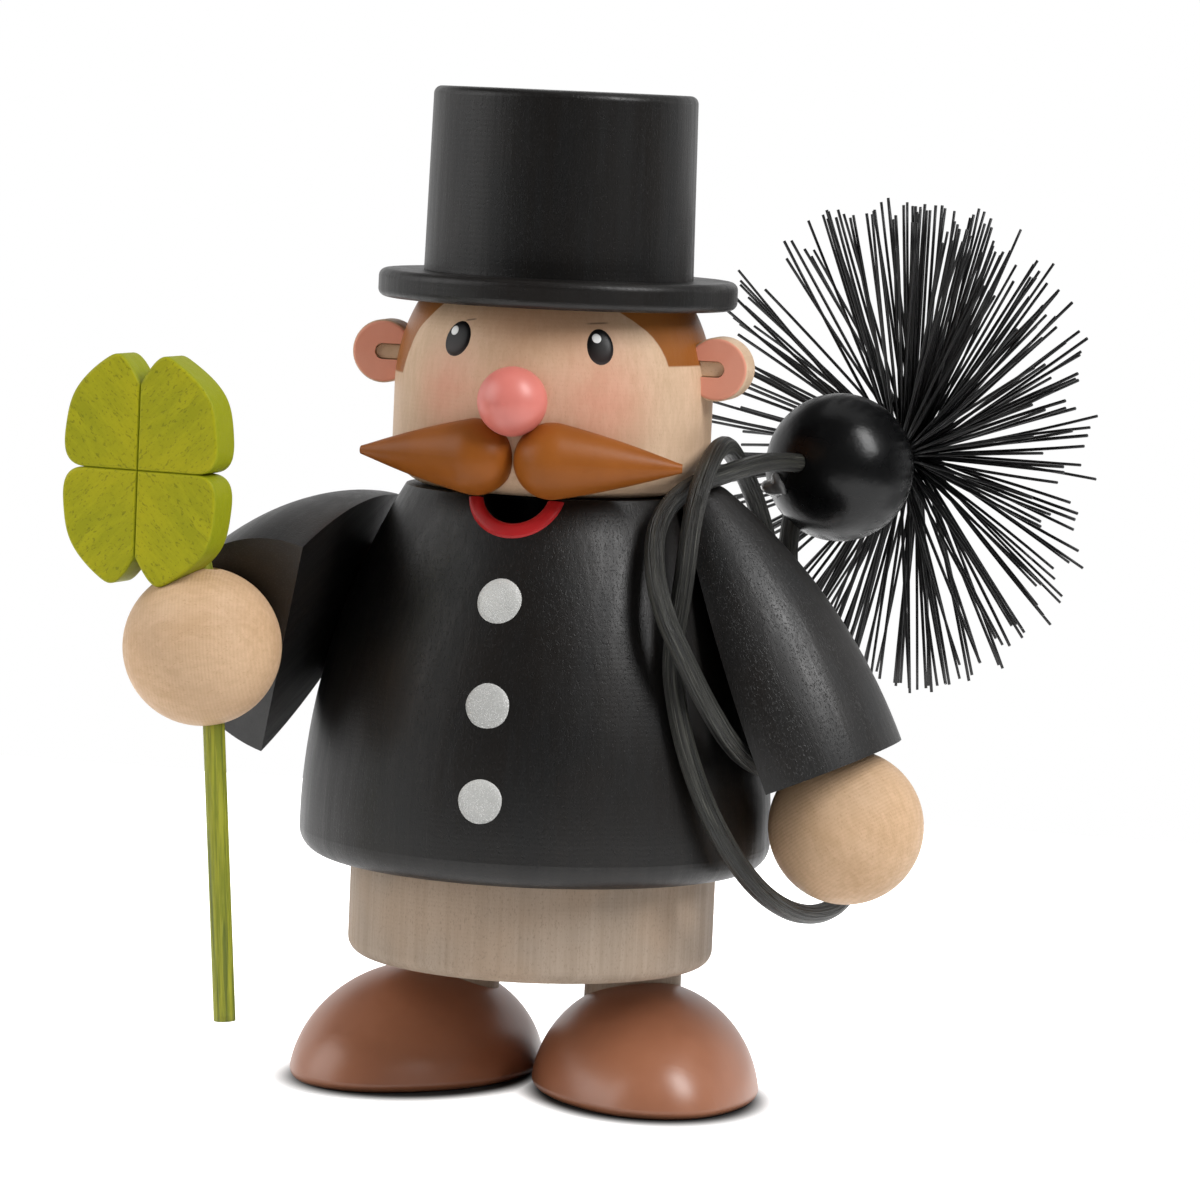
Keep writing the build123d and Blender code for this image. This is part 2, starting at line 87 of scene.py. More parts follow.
def headRadius(z):
    h = headTurning
    if z < h["chinTop"]:
        return h["radius"] - h["chin"] + math.sqrt(max(h["chin"] ** 2 - (h["chinTop"] - z) ** 2, 0))
    if z <= h["domeFoot"]:
        return h["radius"]
    return h["radius"] - h["dome"] + math.sqrt(h["dome"] ** 2 - (z - h["domeFoot"]) ** 2)


# small helpers for meshes
def newPiece(name, mesh, material, smooth=True):
    piece = bpy.data.objects.new(name, mesh)
    scene.collection.objects.link(piece)
    mesh.materials.append(material)
    for face in mesh.polygons:
        face.use_smooth = smooth
    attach(piece, "figure")
    return piece


def domeLift(share, s):
    # height of raised paint in mm: full in the middle, pressed just into the wood where share is one
    return s["thick"] * math.sqrt(max(1 - share**3, 0)) - s["sink"] * share**8


def newMesh(name, points, faces):
    mesh = bpy.data.meshes.new(name)
    mesh.from_pydata(points, [], faces)
    return mesh


def bandFaces(rows, sides, first=0, flip=False):
    # quads between rings of points that follow each other
    faces = []
    for i in range(rows - 1):
        here, beyond = first + i * sides, first + (i + 1) * sides
        for k in range(sides):
            n = (k + 1) % sides
            a, b, c, d = here + k, here + n, beyond + n, beyond + k
            faces.append((a, d, c, b) if flip else (a, b, c, d))
    return faces


def capFaces(rows, sides, first=0, flip=False):
    # the two ends of such a band
    ends = [tuple(range(start, start + sides)) for start in (first, first + (rows - 1) * sides)]
    turned = 1 if flip else 0
    ends[turned] = tuple(reversed(ends[turned]))
    return ends


# camera, set by matching the turned outlines: mm and degrees, with pitch, yaw and roll in radians
view = {
    "azimuth": 13.4, "away": 540.0, "height": 101.6, "lens": 162.93, "sensor": 36.0, "clip": (0.01, 20.0),
    "pitch": 0.0961, "yaw": 0.0102, "roll": 0.0441,
}
azimuth = math.radians(view["azimuth"])
flatRight = Vector((math.cos(azimuth), math.sin(azimuth), 0))
flatAhead = Vector((-math.sin(azimuth), math.cos(azimuth), 0))


def makeCamera(v):
    ahead = flatAhead * math.cos(v["yaw"]) + flatRight * math.sin(v["yaw"])
    right = flatRight * math.cos(v["yaw"]) - flatAhead * math.sin(v["yaw"])
    look = ahead * math.cos(v["pitch"]) - upward * math.sin(v["pitch"])
    up = upward * math.cos(v["pitch"]) + ahead * math.sin(v["pitch"])
    camRight = right * math.cos(v["roll"]) + up * math.sin(v["roll"])
    camUp = up * math.cos(v["roll"]) - right * math.sin(v["roll"])
    data = bpy.data.cameras.new("camera")
    data.sensor_width = v["sensor"]
    data.lens = v["lens"]
    data.clip_start, data.clip_end = v["clip"]
    camera = bpy.data.objects.new("camera", data)
    scene.collection.objects.link(camera)
    rows = Matrix((camRight, camUp, -look)).transposed().to_4x4()
    rows.translation = place(v["away"] * math.sin(azimuth), -v["away"] * math.cos(azimuth), v["height"])
    camera.matrix_world = rows
    scene.camera = camera


makeCamera(view)
print("camera set")


# small helpers for node trees: a value is a number, a vector, a colour or another node's socket
def setSocket(tree, socket, value):
    if isinstance(value, bpy.types.NodeSocket):
        tree.links.new(value, socket)
    elif socket.type == "RGBA":
        socket.default_value = (*value, 1)
    else:
        socket.default_value = value


def addNode(tree, kind, **values):
    node = tree.nodes.new(kind)
    for key, value in values.items():
        if hasattr(node, key):
            setattr(node, key, value)
        else:
            setSocket(tree, node.inputs[key.replace("_", " ")], value)
    return node


def join(tree, start, end):
    tree.links.new(start, end)


def calc(tree, operation, *values):
    node = addNode(tree, "ShaderNodeMath", operation=operation)
    for slot, value in enumerate(values):
        setSocket(tree, node.inputs[slot], value)
    return node.outputs[0]


def times(tree, a, b):
    return calc(tree, "MULTIPLY", a, b)


def vectorMath(tree, operation, *values):
    node = addNode(tree, "ShaderNodeVectorMath", operation=operation)
    for slot, value in enumerate(values):
        setSocket(tree, node.inputs[slot], value)
    return node.outputs["Value" if operation in ("DOT_PRODUCT", "LENGTH") else "Vector"]


def splitAxes(tree, space):
    return addNode(tree, "ShaderNodeSeparateXYZ", Vector=space).outputs


def noise(tree, space, scale, detail=2.0, rough=0.5, twist=0.0):
    node = addNode(tree, "ShaderNodeTexNoise", Vector=space, Scale=scale, Detail=detail, Roughness=rough)
    node.inputs["Distortion"].default_value = twist
    return node.outputs[0]


mixSlots = (0, 6, 7)  # share and the two colours, of a Mix node for colours


def mixColour(tree, share, a, b):
    node = addNode(tree, "ShaderNodeMix", data_type="RGBA")
    for slot, value in zip(mixSlots, (share, a, b)):
        setSocket(tree, node.inputs[slot], value)
    return node.outputs[2]


def ramp(tree, source, low, high, toLow=0.0, toHigh=1.0, smooth=True):
    kind = "SMOOTHSTEP" if smooth else "LINEAR"
    node = addNode(
        tree, "ShaderNodeMapRange", interpolation_type=kind, Value=source,
        From_Min=low, From_Max=high, To_Min=toLow, To_Max=toHigh,
    )
    return node.outputs[0]


def newGroup(name, inputs, outputs):
    tree = bpy.data.node_groups.new(name, "ShaderNodeTree")
    tree.interface.new_socket("Vector", in_out="INPUT", socket_type="NodeSocketVector")
    for way, labels in (("INPUT", inputs), ("OUTPUT", outputs)):
        for label in labels:
            tree.interface.new_socket(label, in_out=way, socket_type="NodeSocketFloat")
    return tree, tree.nodes.new("NodeGroupInput").outputs, tree.nodes.new("NodeGroupOutput").inputs


def useGroup(tree, group, **values):
    node = tree.nodes.new("ShaderNodeGroup")
    node.node_tree = group
    for key, value in values.items():
        setSocket(tree, node.inputs[key], value)
    return node.outputs


# grain of close maple-like wood: long streaks along local Z, fine pores and slow clouding
grainLook = {
    "detail": 5.0, "rough": 0.62, "twist": 0.25, "wideScale": 0.22, "fineShare": 0.6,
    "streakBand": (0.36, 0.66), "poreStretch": (1.0, 1.0, 0.45), "poreRough": 0.6, "poreBand": (0.56, 0.70),
    "cloudScale": 95.0, "cloudBand": (0.35, 0.65),
}


def makeGrainGroup(g):
    tree, given, result = newGroup("closeGrain", ("Streak", "Along", "Pores"), ("Grain", "Pore", "Cloud"))
    stretch = addNode(tree, "ShaderNodeCombineXYZ", X=1.0, Y=1.0, Z=given["Along"])
    squeezed = vectorMath(tree, "MULTIPLY", given["Vector"], stretch.outputs[0])
    fine = noise(tree, squeezed, given["Streak"], g["detail"], g["rough"], g["twist"])
    wide = noise(tree, squeezed, times(tree, given["Streak"], g["wideScale"]))
    both = calc(tree, "ADD", times(tree, fine, g["fineShare"]), times(tree, wide, 1 - g["fineShare"]))
    join(tree, ramp(tree, both, *g["streakBand"]), result["Grain"])
    poreSpace = vectorMath(tree, "MULTIPLY", given["Vector"], g["poreStretch"])
    pore = noise(tree, poreSpace, given["Pores"], rough=g["poreRough"])
    join(tree, ramp(tree, pore, *g["poreBand"]), result["Pore"])
    cloud = noise(tree, given["Vector"], g["cloudScale"])
    join(tree, ramp(tree, cloud, *g["cloudBand"]), result["Cloud"])
    return tree


# faint rings left by the lathe tool, across local Z, with their spacing in mm
ringLook = {"wobbleScale": 260.0, "wobble": 5.0}


def makeRingGroup(r):
    tree, given, result = newGroup("latheRings", ("Spacing",), ("Ring",))
    wobble = noise(tree, given["Vector"], r["wobbleScale"])
    along = times(tree, splitAxes(tree, given["Vector"])["Z"], toMm * 2 * math.pi)
    turns = calc(tree, "DIVIDE", along, given["Spacing"])
    wave = calc(tree, "SINE", calc(tree, "MULTIPLY_ADD", wobble, r["wobble"], turns))
    join(tree, calc(tree, "MULTIPLY_ADD", wave, 0.5, 0.5), result["Ring"])  # from 0 to 1
    return tree


# uneven satin of brushed or dipped paint
skinLook = {
    "detail": 3.0, "peelRough": 0.55, "patchScale": 120.0, "patchRough": 0.6, "patchBand": (0.38, 0.64),
}


def makeSkinGroup(s):
    tree, given, result = newGroup("paintSkin", ("Scale",), ("Height", "Patch"))
    peel = noise(tree, given["Vector"], given["Scale"], s["detail"], s["peelRough"])
    join(tree, peel, result["Height"])
    patch = noise(tree, given["Vector"], s["patchScale"], s["detail"], s["patchRough"])
    join(tree, ramp(tree, patch, *s["patchBand"]), result["Patch"])
    return tree


# split cane: long fibres, with u along the cane and v round it
fibreLook = {
    "Fibre": {"scale": 1.0, "detail": 4.0, "rough": 0.6, "band": (0.36, 0.64)},
    "Groove": {"scale": 0.55, "detail": 2.0, "rough": 0.4, "band": (0.54, 0.66)},
    "Fleck": {"scale": 2.3, "detail": 2.0, "rough": 0.5, "band": (0.60, 0.72)},
}


def makeFibreGroup(looks):
    tree, given, result = newGroup("caneFibre", ("Across", "Along"), tuple(looks))
    stretch = addNode(tree, "ShaderNodeCombineXYZ", X=given["Along"], Y=given["Across"], Z=1.0)
    squeezed = vectorMath(tree, "MULTIPLY", given["Vector"], stretch.outputs[0])
    for label, look in looks.items():
        mask = noise(tree, squeezed, look["scale"], look["detail"], look["rough"])
        join(tree, ramp(tree, mask, *look["band"]), result[label])
    return tree


closeGrain = makeGrainGroup(grainLook)
latheRings = makeRingGroup(ringLook)
paintSkin = makeSkinGroup(skinLook)
caneFibre = makeFibreGroup(fibreLook)


def newMaterial(name, **shader):
    material = bpy.data.materials.new(name)
    material.use_nodes = True
    tree = material.node_tree
    surface = tree.nodes["Principled BSDF"].inputs
    for key, value in shader.items():
        surface[key.replace("_", " ")].default_value = value
    return material, tree, surface


def objectSpace(tree, origin=(0, 0, 0), along=(0, 0, 1)):
    # part coordinates with the piece's own axis turned to Z
    where = tree.nodes.new("ShaderNodeTexCoord")
    shifted = vectorMath(tree, "SUBTRACT", where.outputs["Object"], origin)
    if tuple(along) == (0, 0, 1):
        return shifted
    turn = Vector(along).rotation_difference(upward).to_euler()
    spin = addNode(tree, "ShaderNodeVectorRotate", rotation_type="EULER_XYZ", Vector=shifted, Rotation=turn)
    return spin.outputs[0]


def bump(tree, surface, height, strength, depth):  # depth in mm
    node = addNode(tree, "ShaderNodeBump", Strength=strength, Distance=depth * mm, Height=height)
    join(tree, node.outputs[0], surface["Normal"])


# what the woods share; each stain names what is its own
plainWood = {
    "roughSpread": 0.05, "poreBump": 0.6, "bumpDepth": 0.06,
    "ringSpacing": 0.35, "ringDepth": 0.25, "ringShade": 0.03,
}
blackStain = {
    **plainWood, "dark": (0.0030, 0.0029, 0.0029), "light": (0.0070, 0.0060, 0.0053),
    "tint": (0.011, 0.0075, 0.0056), "pore": (0.0015, 0.0015, 0.0015),
    "streak": 820.0, "along": 0.06, "pores": 6200.0, "poreDepth": 0.4, "cloud": 0.35, "rough": 0.42,
    "specular": 0.33, "bump": 0.28, "poreBump": 0.9, "ringSpacing": 0.5, "ringDepth": 0.12,
}
sleeveStain = {
    **blackStain, "bump": 0.40, "pores": 7200.0, "ringDepth": 0.06, "specular": 0.48, "rough": 0.43,
}
bareMaple = {
    **plainWood, "dark": (0.56, 0.375, 0.235), "light": (0.70, 0.50, 0.335),
    "tint": (0.74, 0.56, 0.40), "pore": (0.42, 0.26, 0.15),
    "streak": 620.0, "along": 0.10, "pores": 4600.0, "poreDepth": 0.35, "cloud": 0.4, "rough": 0.50,
    "specular": 0.22, "bump": 0.22, "ringSpacing": 0.42,
}
headMaple = {
    **bareMaple, "dark": (0.60, 0.41, 0.265), "light": (0.69, 0.485, 0.33),
    "tint": (0.72, 0.52, 0.365), "pore": (0.46, 0.28, 0.165),
    "streak": 1700.0, "along": 0.30, "pores": 6400.0, "poreDepth": 0.26, "cloud": 0.3,
}
handMaple = {
    **bareMaple, "dark": (0.585, 0.38, 0.22), "light": (0.69, 0.465, 0.285),
    "tint": (0.75, 0.535, 0.36), "pore": (0.44, 0.25, 0.125),
    "streak": 1500.0, "along": 0.35, "pores": 6000.0, "cloud": 0.30, "bump": 0.4,
    "ringSpacing": 0.34, "ringDepth": 0.6, "ringShade": 0.13,
}
greigeStain = {
    **plainWood, "dark": (0.35, 0.275, 0.21), "light": (0.425, 0.338, 0.265),
    "tint": (0.47, 0.32, 0.21), "pore": (0.24, 0.185, 0.135),
    "streak": 2200.0, "along": 0.022, "pores": 6800.0, "poreDepth": 0.55, "cloud": 0.34, "rough": 0.60,
    "specular": 0.18, "bump": 0.25, "ringSpacing": 0.4,
}
leafStain = {
    **plainWood, "dark": (0.32, 0.32, 0.006), "light": (0.42, 0.395, 0.008),
    "tint": (0.47, 0.41, 0.007), "pore": (0.14, 0.15, 0.003),
    "streak": 1500.0, "along": 0.20, "pores": 4600.0, "poreDepth": 0.62, "cloud": 0.45, "rough": 0.52,
    "specular": 0.18, "bump": 0.4, "ringDepth": 0.0,
}


# one stained or bare wood, from its own values
def woodMaterial(name, w, along=(0, 0, 1), origin=(0, 0, 0)):
    material, tree, surface = newMaterial(name, Specular_IOR_Level=w["specular"])
    space = objectSpace(tree, origin, along)
    grain = useGroup(tree, closeGrain, Vector=space, Streak=w["streak"], Along=w["along"], Pores=w["pores"])
    ring = useGroup(tree, latheRings, Vector=space, Spacing=w["ringSpacing"])["Ring"]
    wood = mixColour(tree, grain["Grain"], w["dark"], w["light"])
    wood = mixColour(tree, times(tree, grain["Cloud"], w["cloud"]), wood, w["tint"])
    wood = mixColour(tree, times(tree, grain["Pore"], w["poreDepth"]), wood, w["pore"])
    wood = mixColour(tree, times(tree, ring, w["ringShade"]), wood, w["pore"])
    join(tree, wood, surface["Base Color"])
    dull, bright = w["rough"] + w["roughSpread"], w["rough"] - w["roughSpread"]
    join(tree, ramp(tree, grain["Grain"], 0.0, 1.0, dull, bright, smooth=False), surface["Roughness"])
    height = calc(tree, "MULTIPLY_ADD", grain["Pore"], -w["poreBump"], grain["Grain"])
    height = calc(tree, "MULTIPLY_ADD", ring, w["ringDepth"], height)
    bump(tree, surface, height, w["bump"], w["bumpDepth"])
    return material, tree, surface, wood


# what the paints share; each paint names what is its own
plainPaint = {"roughSpread": (-0.015, 0.02), "bumpDepth": 0.08}
shoePaint = {
    **plainPaint, "dark": (0.345, 0.132, 0.066), "light": (0.375, 0.148, 0.076),
    "rough": 0.36, "specular": 0.68, "peel": 900.0, "bump": 0.08,
}
hairPaint = {
    **plainPaint, "dark": (0.275, 0.079, 0.009), "light": (0.315, 0.093, 0.012),
    "rough": 0.42, "specular": 0.22, "peel": 1500.0, "bump": 0.30,
}
nosePaint = {
    **plainPaint, "dark": (0.69, 0.190, 0.155), "light": (0.73, 0.215, 0.175),
    "rough": 0.40, "specular": 0.62, "peel": 800.0, "bump": 0.10,
}
ballPaint = {
    **plainPaint, "dark": (0.0028, 0.0029, 0.0031), "light": (0.0042, 0.0043, 0.0046),
    "rough": 0.27, "specular": 0.26, "peel": 620.0, "bump": 0.6,
}


def paintMaterial(name, p):
    material, tree, surface = newMaterial(name, Specular_IOR_Level=p["specular"])
    skin = useGroup(tree, paintSkin, Vector=objectSpace(tree), Scale=p["peel"])
    join(tree, mixColour(tree, skin["Patch"], p["dark"], p["light"]), surface["Base Color"])
    bright, dull = (p["rough"] + spread for spread in p["roughSpread"])
    join(tree, ramp(tree, skin["Patch"], 0.0, 1.0, bright, dull, smooth=False), surface["Roughness"])
    bump(tree, surface, skin["Height"], p["bump"], p["bumpDepth"])
    return material


paints = {}  # the finish of each node


def wear(material, *names):
    for name in names:
        paints[name] = material


wear(paintMaterial("shoePaint", shoePaint), "shoe_right", "shoe_left")
wear(paintMaterial("moustachePaint", hairPaint), "moustache_right", "moustache_left")
wear(paintMaterial("nosePaint", nosePaint), "nose")
wear(paintMaterial("ballPaint", ballPaint), "sweep_ball")
wear(woodMaterial("blackTurned", blackStain)[0], "coat", "hat_brim", "hat_crown")
wear(woodMaterial("trouserWood", greigeStain)[0], "trousers", "leg_right", "leg_left")
wear(
    woodMaterial("pegWood", bareMaple)[0],
    "neck_dowel", "arm_dowel_right", "arm_dowel_left", "wrist_peg_right", "wrist_peg_left",
)

# arms: sleeves have their grain along the arm, and each hand has the axis that it was turned on
armRight = {"along": (-0.152, -0.923, -0.354), "turned": (0.98, 0.15, 0.10), "hand": (-28.04, -24.34, 45.03)}
armLeft = {"along": (0.391, 0.009, -0.920), "turned": (0.55, -0.10, -0.83), "hand": (31.82, -1.26, 28.96)}
for side, arm in (("right", armRight), ("left", armLeft)):
    centre = place(*arm["hand"])
    wear(woodMaterial("sleeveWood_" + side, sleeveStain, arm["along"], centre)[0], "sleeve_" + side)
    wear(woodMaterial("handWood_" + side, handMaple, arm["turned"], centre)[0], "hand_" + side)

# clover leaves: pored fronts and backs, lighter greener edges
clover = {
    "centre": (-33.46, -24.25, 61.98), "out": (-0.156, -0.988, 0.0),
    "edge": (0.27, 0.305, 0.010), "edgeBand": (0.35, 0.92), "edgeShare": 0.8,
}
leafAxes = {
    "upper_inner": (0.7, -0.11, 0.7), "upper_outer": (-0.7, 0.11, 0.7),
    "lower_inner": (0.7, -0.11, -0.7), "lower_outer": (-0.7, 0.11, -0.7),
}


def leafMaterial(leaf, along, c):
    material, tree, surface, wood = woodMaterial("leafWood_" + leaf, leafStain, along, place(*c["centre"]))
    where = tree.nodes.new("ShaderNodeTexCoord")
    facing = calc(tree, "ABSOLUTE", vectorMath(tree, "DOT_PRODUCT", where.outputs["Normal"], c["out"]))
    rim = ramp(tree, facing, *c["edgeBand"], c["edgeShare"], 0.0)
    join(tree, mixColour(tree, rim, wood, c["edge"]), surface["Base Color"])
    return material


for leaf, along in leafAxes.items():
    wear(leafMaterial(leaf, along, clover), "clover_leaf_" + leaf)

# head: bare wood, with hair, a warm airbrush tint that deepens toward the brim as painted shade under it,
# lashes and blush laid on by angle in degrees and height in mm
face = {
    "hair": (0.335, 0.118, 0.024), "hairDark": (0.285, 0.095, 0.017), "peel": 520.0,
    "rough": (0.46, 0.36),  # of the bare wood and of the hair
    # the hair's edge, at the viewer's right and left: share of the height, angle in hundreds of degrees
    "hairHeights": (70.0, 80.0),
    "hairRight": (
        (0.0, 0.62), (0.38, 0.586), (0.52, 0.565), (0.66, 0.525), (0.78, 0.465), (0.89, 0.394), (1.0, 0.33),
    ),
    "hairLeft": (
        (0.0, 0.60), (0.175, 0.574), (0.35, 0.549), (0.62, 0.509), (0.74, 0.465), (0.86, 0.415), (1.0, 0.35),
    ),
    "burnRight": 73.7, "burnLeft": 71.7, "earBack": 100.0, "nape": 66.5, "ragged": 0.8,
    "soft": {"edge": 0.9, "burn": 0.25, "nape": 0.3, "earBack": 1.0},  # width of each edge of the hair
    # warm airbrush tint of the face, made darker toward the brim as painted shade under it
    "warmTintAndBrimShade": (0.44, 0.215, 0.105), "warmFrom": (71.0, 78.5), "warmShare": 0.62,
    "warmMiddle": 8.0, "warmAcross": (8.0, 52.0),
    "lash": (0.14, 0.085, 0.055), "lashShare": 0.75, "lashEdge": (0.03, 0.13), "lashFull": 0.4,
    "lashes": ((-22.0, 77.5, 3.0, 0.04), (29.5, 77.75, 5.5, 0.015)),  # angle, height, half length, slope
    "blush": (0.72, 0.24, 0.17), "blushShare": 0.50, "blushGrain": (0.2, 0.6, 0.7, 1.0),
    "blushes": ((-27.7, 70.6, 6.6), (30.0, 70.2, 8.2)),  # angle, height, radius
}


def hairEdge(tree, height, heights, points):
    curve = tree.nodes.new("ShaderNodeFloatCurve")
    line = curve.mapping.curves[0]
    line.points[0].location, line.points[1].location = points[0], points[-1]
    for x, y in points[1:-1]:
        line.points.new(x, y)
    curve.mapping.update()
    join(tree, ramp(tree, height, *heights, smooth=False), curve.inputs["Value"])
    return times(tree, curve.outputs[0], 100.0)


def headMaterial(f):
    material, tree, surface, wood = woodMaterial("headWood", headMaple)
    space = objectSpace(tree, (axisX * mm, axisY * mm, 0))
    axes = splitAxes(tree, space)
    height = times(tree, axes["Z"], toMm)
    turn = calc(tree, "ARCTAN2", axes["X"], times(tree, axes["Y"], -1.0))
    angle = times(tree, turn, math.degrees(1))
    skin = useGroup(tree, paintSkin, Vector=space, Scale=f["peel"])
    ragged = calc(tree, "MULTIPLY_ADD", skin["Height"], f["ragged"], -f["ragged"] / 2)

    def minus(a, b):
        return calc(tree, "SUBTRACT", a, b)

    def size(value):
        return calc(tree, "ABSOLUTE", value)

    def step(value, start, edge):
        width = f["soft"][edge]
        return ramp(tree, value, start - width / 2, start + width / 2)

    def sideHair(turned, points, burn):
        lap = calc(tree, "ADD", turned, ragged)
        past = step(minus(lap, hairEdge(tree, height, f["hairHeights"], points)), 0.0, "edge")
        behind = times(tree, step(height, f["nape"], "nape"), step(turned, f["earBack"], "earBack"))
        return times(tree, past, calc(tree, "MAXIMUM", step(height, burn, "burn"), behind))

    right = sideHair(angle, f["hairRight"], f["burnRight"])
    left = sideHair(times(tree, angle, -1.0), f["hairLeft"], f["burnLeft"])
    hair = calc(tree, "MAXIMUM", right, left)
    # warm airbrush tint on the front of the face, deepened toward the brim as painted shade under the brim
    across = ramp(tree, size(minus(angle, f["warmMiddle"])), *f["warmAcross"], f["warmShare"], 0.0)
    base = mixColour(tree, times(tree, ramp(tree, height, *f["warmFrom"]), across), wood, f["warmTintAndBrimShade"])
    for lashAngle, lashHeight, half, slope in f["lashes"]:
        past = minus(angle, lashAngle)
        off = size(minus(minus(height, lashHeight), times(tree, past, slope)))
        line = ramp(tree, off, *f["lashEdge"], f["lashShare"], 0.0)
        length = ramp(tree, size(past), f["lashFull"] * half, half, 1.0, 0.0)
        base = mixColour(tree, times(tree, line, length), base, f["lash"])
    for spotAngle, spotHeight, radius in f["blushes"]:
        across = times(tree, minus(angle, spotAngle), headTurning["radius"] * math.radians(1))
        rise = minus(height, spotHeight)
        away = calc(tree, "SQRT", calc(tree, "MULTIPLY_ADD", across, across, times(tree, rise, rise)))
        soft = ramp(tree, away, 0.0, radius, f["blushShare"], 0.0)
        grainy = ramp(tree, skin["Height"], *f["blushGrain"])
        base = mixColour(tree, times(tree, soft, grainy), base, f["blush"])
    hairColour = mixColour(tree, skin["Patch"], f["hairDark"], f["hair"])
    join(tree, mixColour(tree, hair, base, hairColour), surface["Base Color"])
    join(tree, ramp(tree, hair, 0.0, 1.0, *f["rough"], smooth=False), surface["Roughness"])
    return material


wear(headMaterial(face), "head")

# ears: coral paint on the front disc only, with its plane in mm from the turning axis
ear = {
    "front": -2.85, "frontEdge": (0.02, 0.10), "ragged": 0.12, "peel": 900.0,
    "coral": (0.81, 0.345, 0.24), "coralDark": (0.76, 0.30, 0.20),
}


def earMaterial(e):
    material, tree, surface, wood = woodMaterial("earWood", bareMaple, (0, -1, 0))
    space = objectSpace(tree)
    skin = useGroup(tree, paintSkin, Vector=space, Scale=e["peel"])
    depth = calc(tree, "MULTIPLY_ADD", splitAxes(tree, space)["Y"], toMm, -axisY)
    ragged = calc(tree, "MULTIPLY_ADD", skin["Height"], e["ragged"], depth)
    start, end = (e["front"] + edge for edge in e["frontEdge"])
    coral = mixColour(tree, skin["Patch"], e["coralDark"], e["coral"])
    painted = mixColour(tree, ramp(tree, ragged, start, end, 1.0, 0.0), wood, coral)
    join(tree, painted, surface["Base Color"])
    return material


wear(earMaterial(ear), "ear_right", "ear_left")

# bare wood floor of each ear's groove, just under the painted front
groove = {"front": 0.42, "back": 1.15, "half": 0.77, "reach": 2.5, "radius": 3.15, "edge": 0.12, "steps": 16}


def grooveMesh(side, name, g):
    low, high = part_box(name)
    x = low[0] + g["radius"] * mm if side < 0 else high[0] - g["radius"] * mm
    z = (low[2] + high[2]) / 2
    bend = [math.pi * k / g["steps"] for k in range(g["steps"] + 1)]
    outline = [(-g["half"] * math.sin(a), g["half"] * math.cos(a)) for a in bend]
    outline += [(g["reach"], -g["half"]), (g["reach"], g["half"])]
    rings = ((g["back"], 1.0), (g["front"] + g["edge"], 1.0), (g["front"], 1 - g["edge"]))
    shape = bmesh.new()
    corners = [
        shape.verts.new((x - side * u * mm, low[1] + deep * mm, z + v * size * mm))
        for deep, size in rings for u, v in outline
    ]
    for face in capFaces(len(rings), len(outline)) + bandFaces(len(rings), len(outline)):
        shape.faces.new([corners[j] for j in face])
    bmesh.ops.recalc_face_normals(shape, faces=shape.faces)
    mesh = bpy.data.meshes.new("groove_" + name)
    shape.to_mesh(mesh)
    shape.free()
    return mesh


for side, name in ((-1, "ear_right"), (1, "ear_left")):
    newPiece("groove_" + name, grooveMesh(side, name, groove), paints[name], smooth=False)

# metals: pressed brass dish, steel tack and pin
plainMetal = {
    "heights": (0.3, 0.7), "roughSpread": (-0.08, 0.1), "ringDepth": 0.5, "bump": 0.15, "bumpDepth": 0.03,
}
brass = {
    **plainMetal, "dark": (0.48, 0.30, 0.10), "light": (0.72, 0.50, 0.20),
    "rough": 0.36, "peel": 900.0, "ringSpacing": 0.3,
}
steel = {
    **plainMetal, "dark": (0.42, 0.42, 0.43), "light": (0.62, 0.62, 0.63),
    "rough": 0.32, "peel": 1400.0, "ringSpacing": 0.2,
}


def metalMaterial(name, m):
    material, tree, surface = newMaterial(name, Metallic=1.0)
    space = objectSpace(tree)
    skin = useGroup(tree, paintSkin, Vector=space, Scale=m["peel"])
    ring = useGroup(tree, latheRings, Vector=space, Spacing=m["ringSpacing"])["Ring"]
    join(tree, mixColour(tree, skin["Patch"], m["dark"], m["light"]), surface["Base Color"])
    bright, dull = (m["rough"] + spread for spread in m["roughSpread"])
    join(tree, ramp(tree, skin["Height"], *m["heights"], bright, dull), surface["Roughness"])
    height = calc(tree, "MULTIPLY_ADD", ring, m["ringDepth"], skin["Height"])
    bump(tree, surface, height, m["bump"], m["bumpDepth"])
    return material


wear(metalMaterial("brassDish", brass), "incense_dish")
wear(metalMaterial("steelTack", steel), "dish_tack", "brush_pin")

for name, material in paints.items():
    mesh = nodes[name].data
    mesh.materials.clear()
    mesh.materials.append(material)
print("finishes on", len(paints), "nodes")

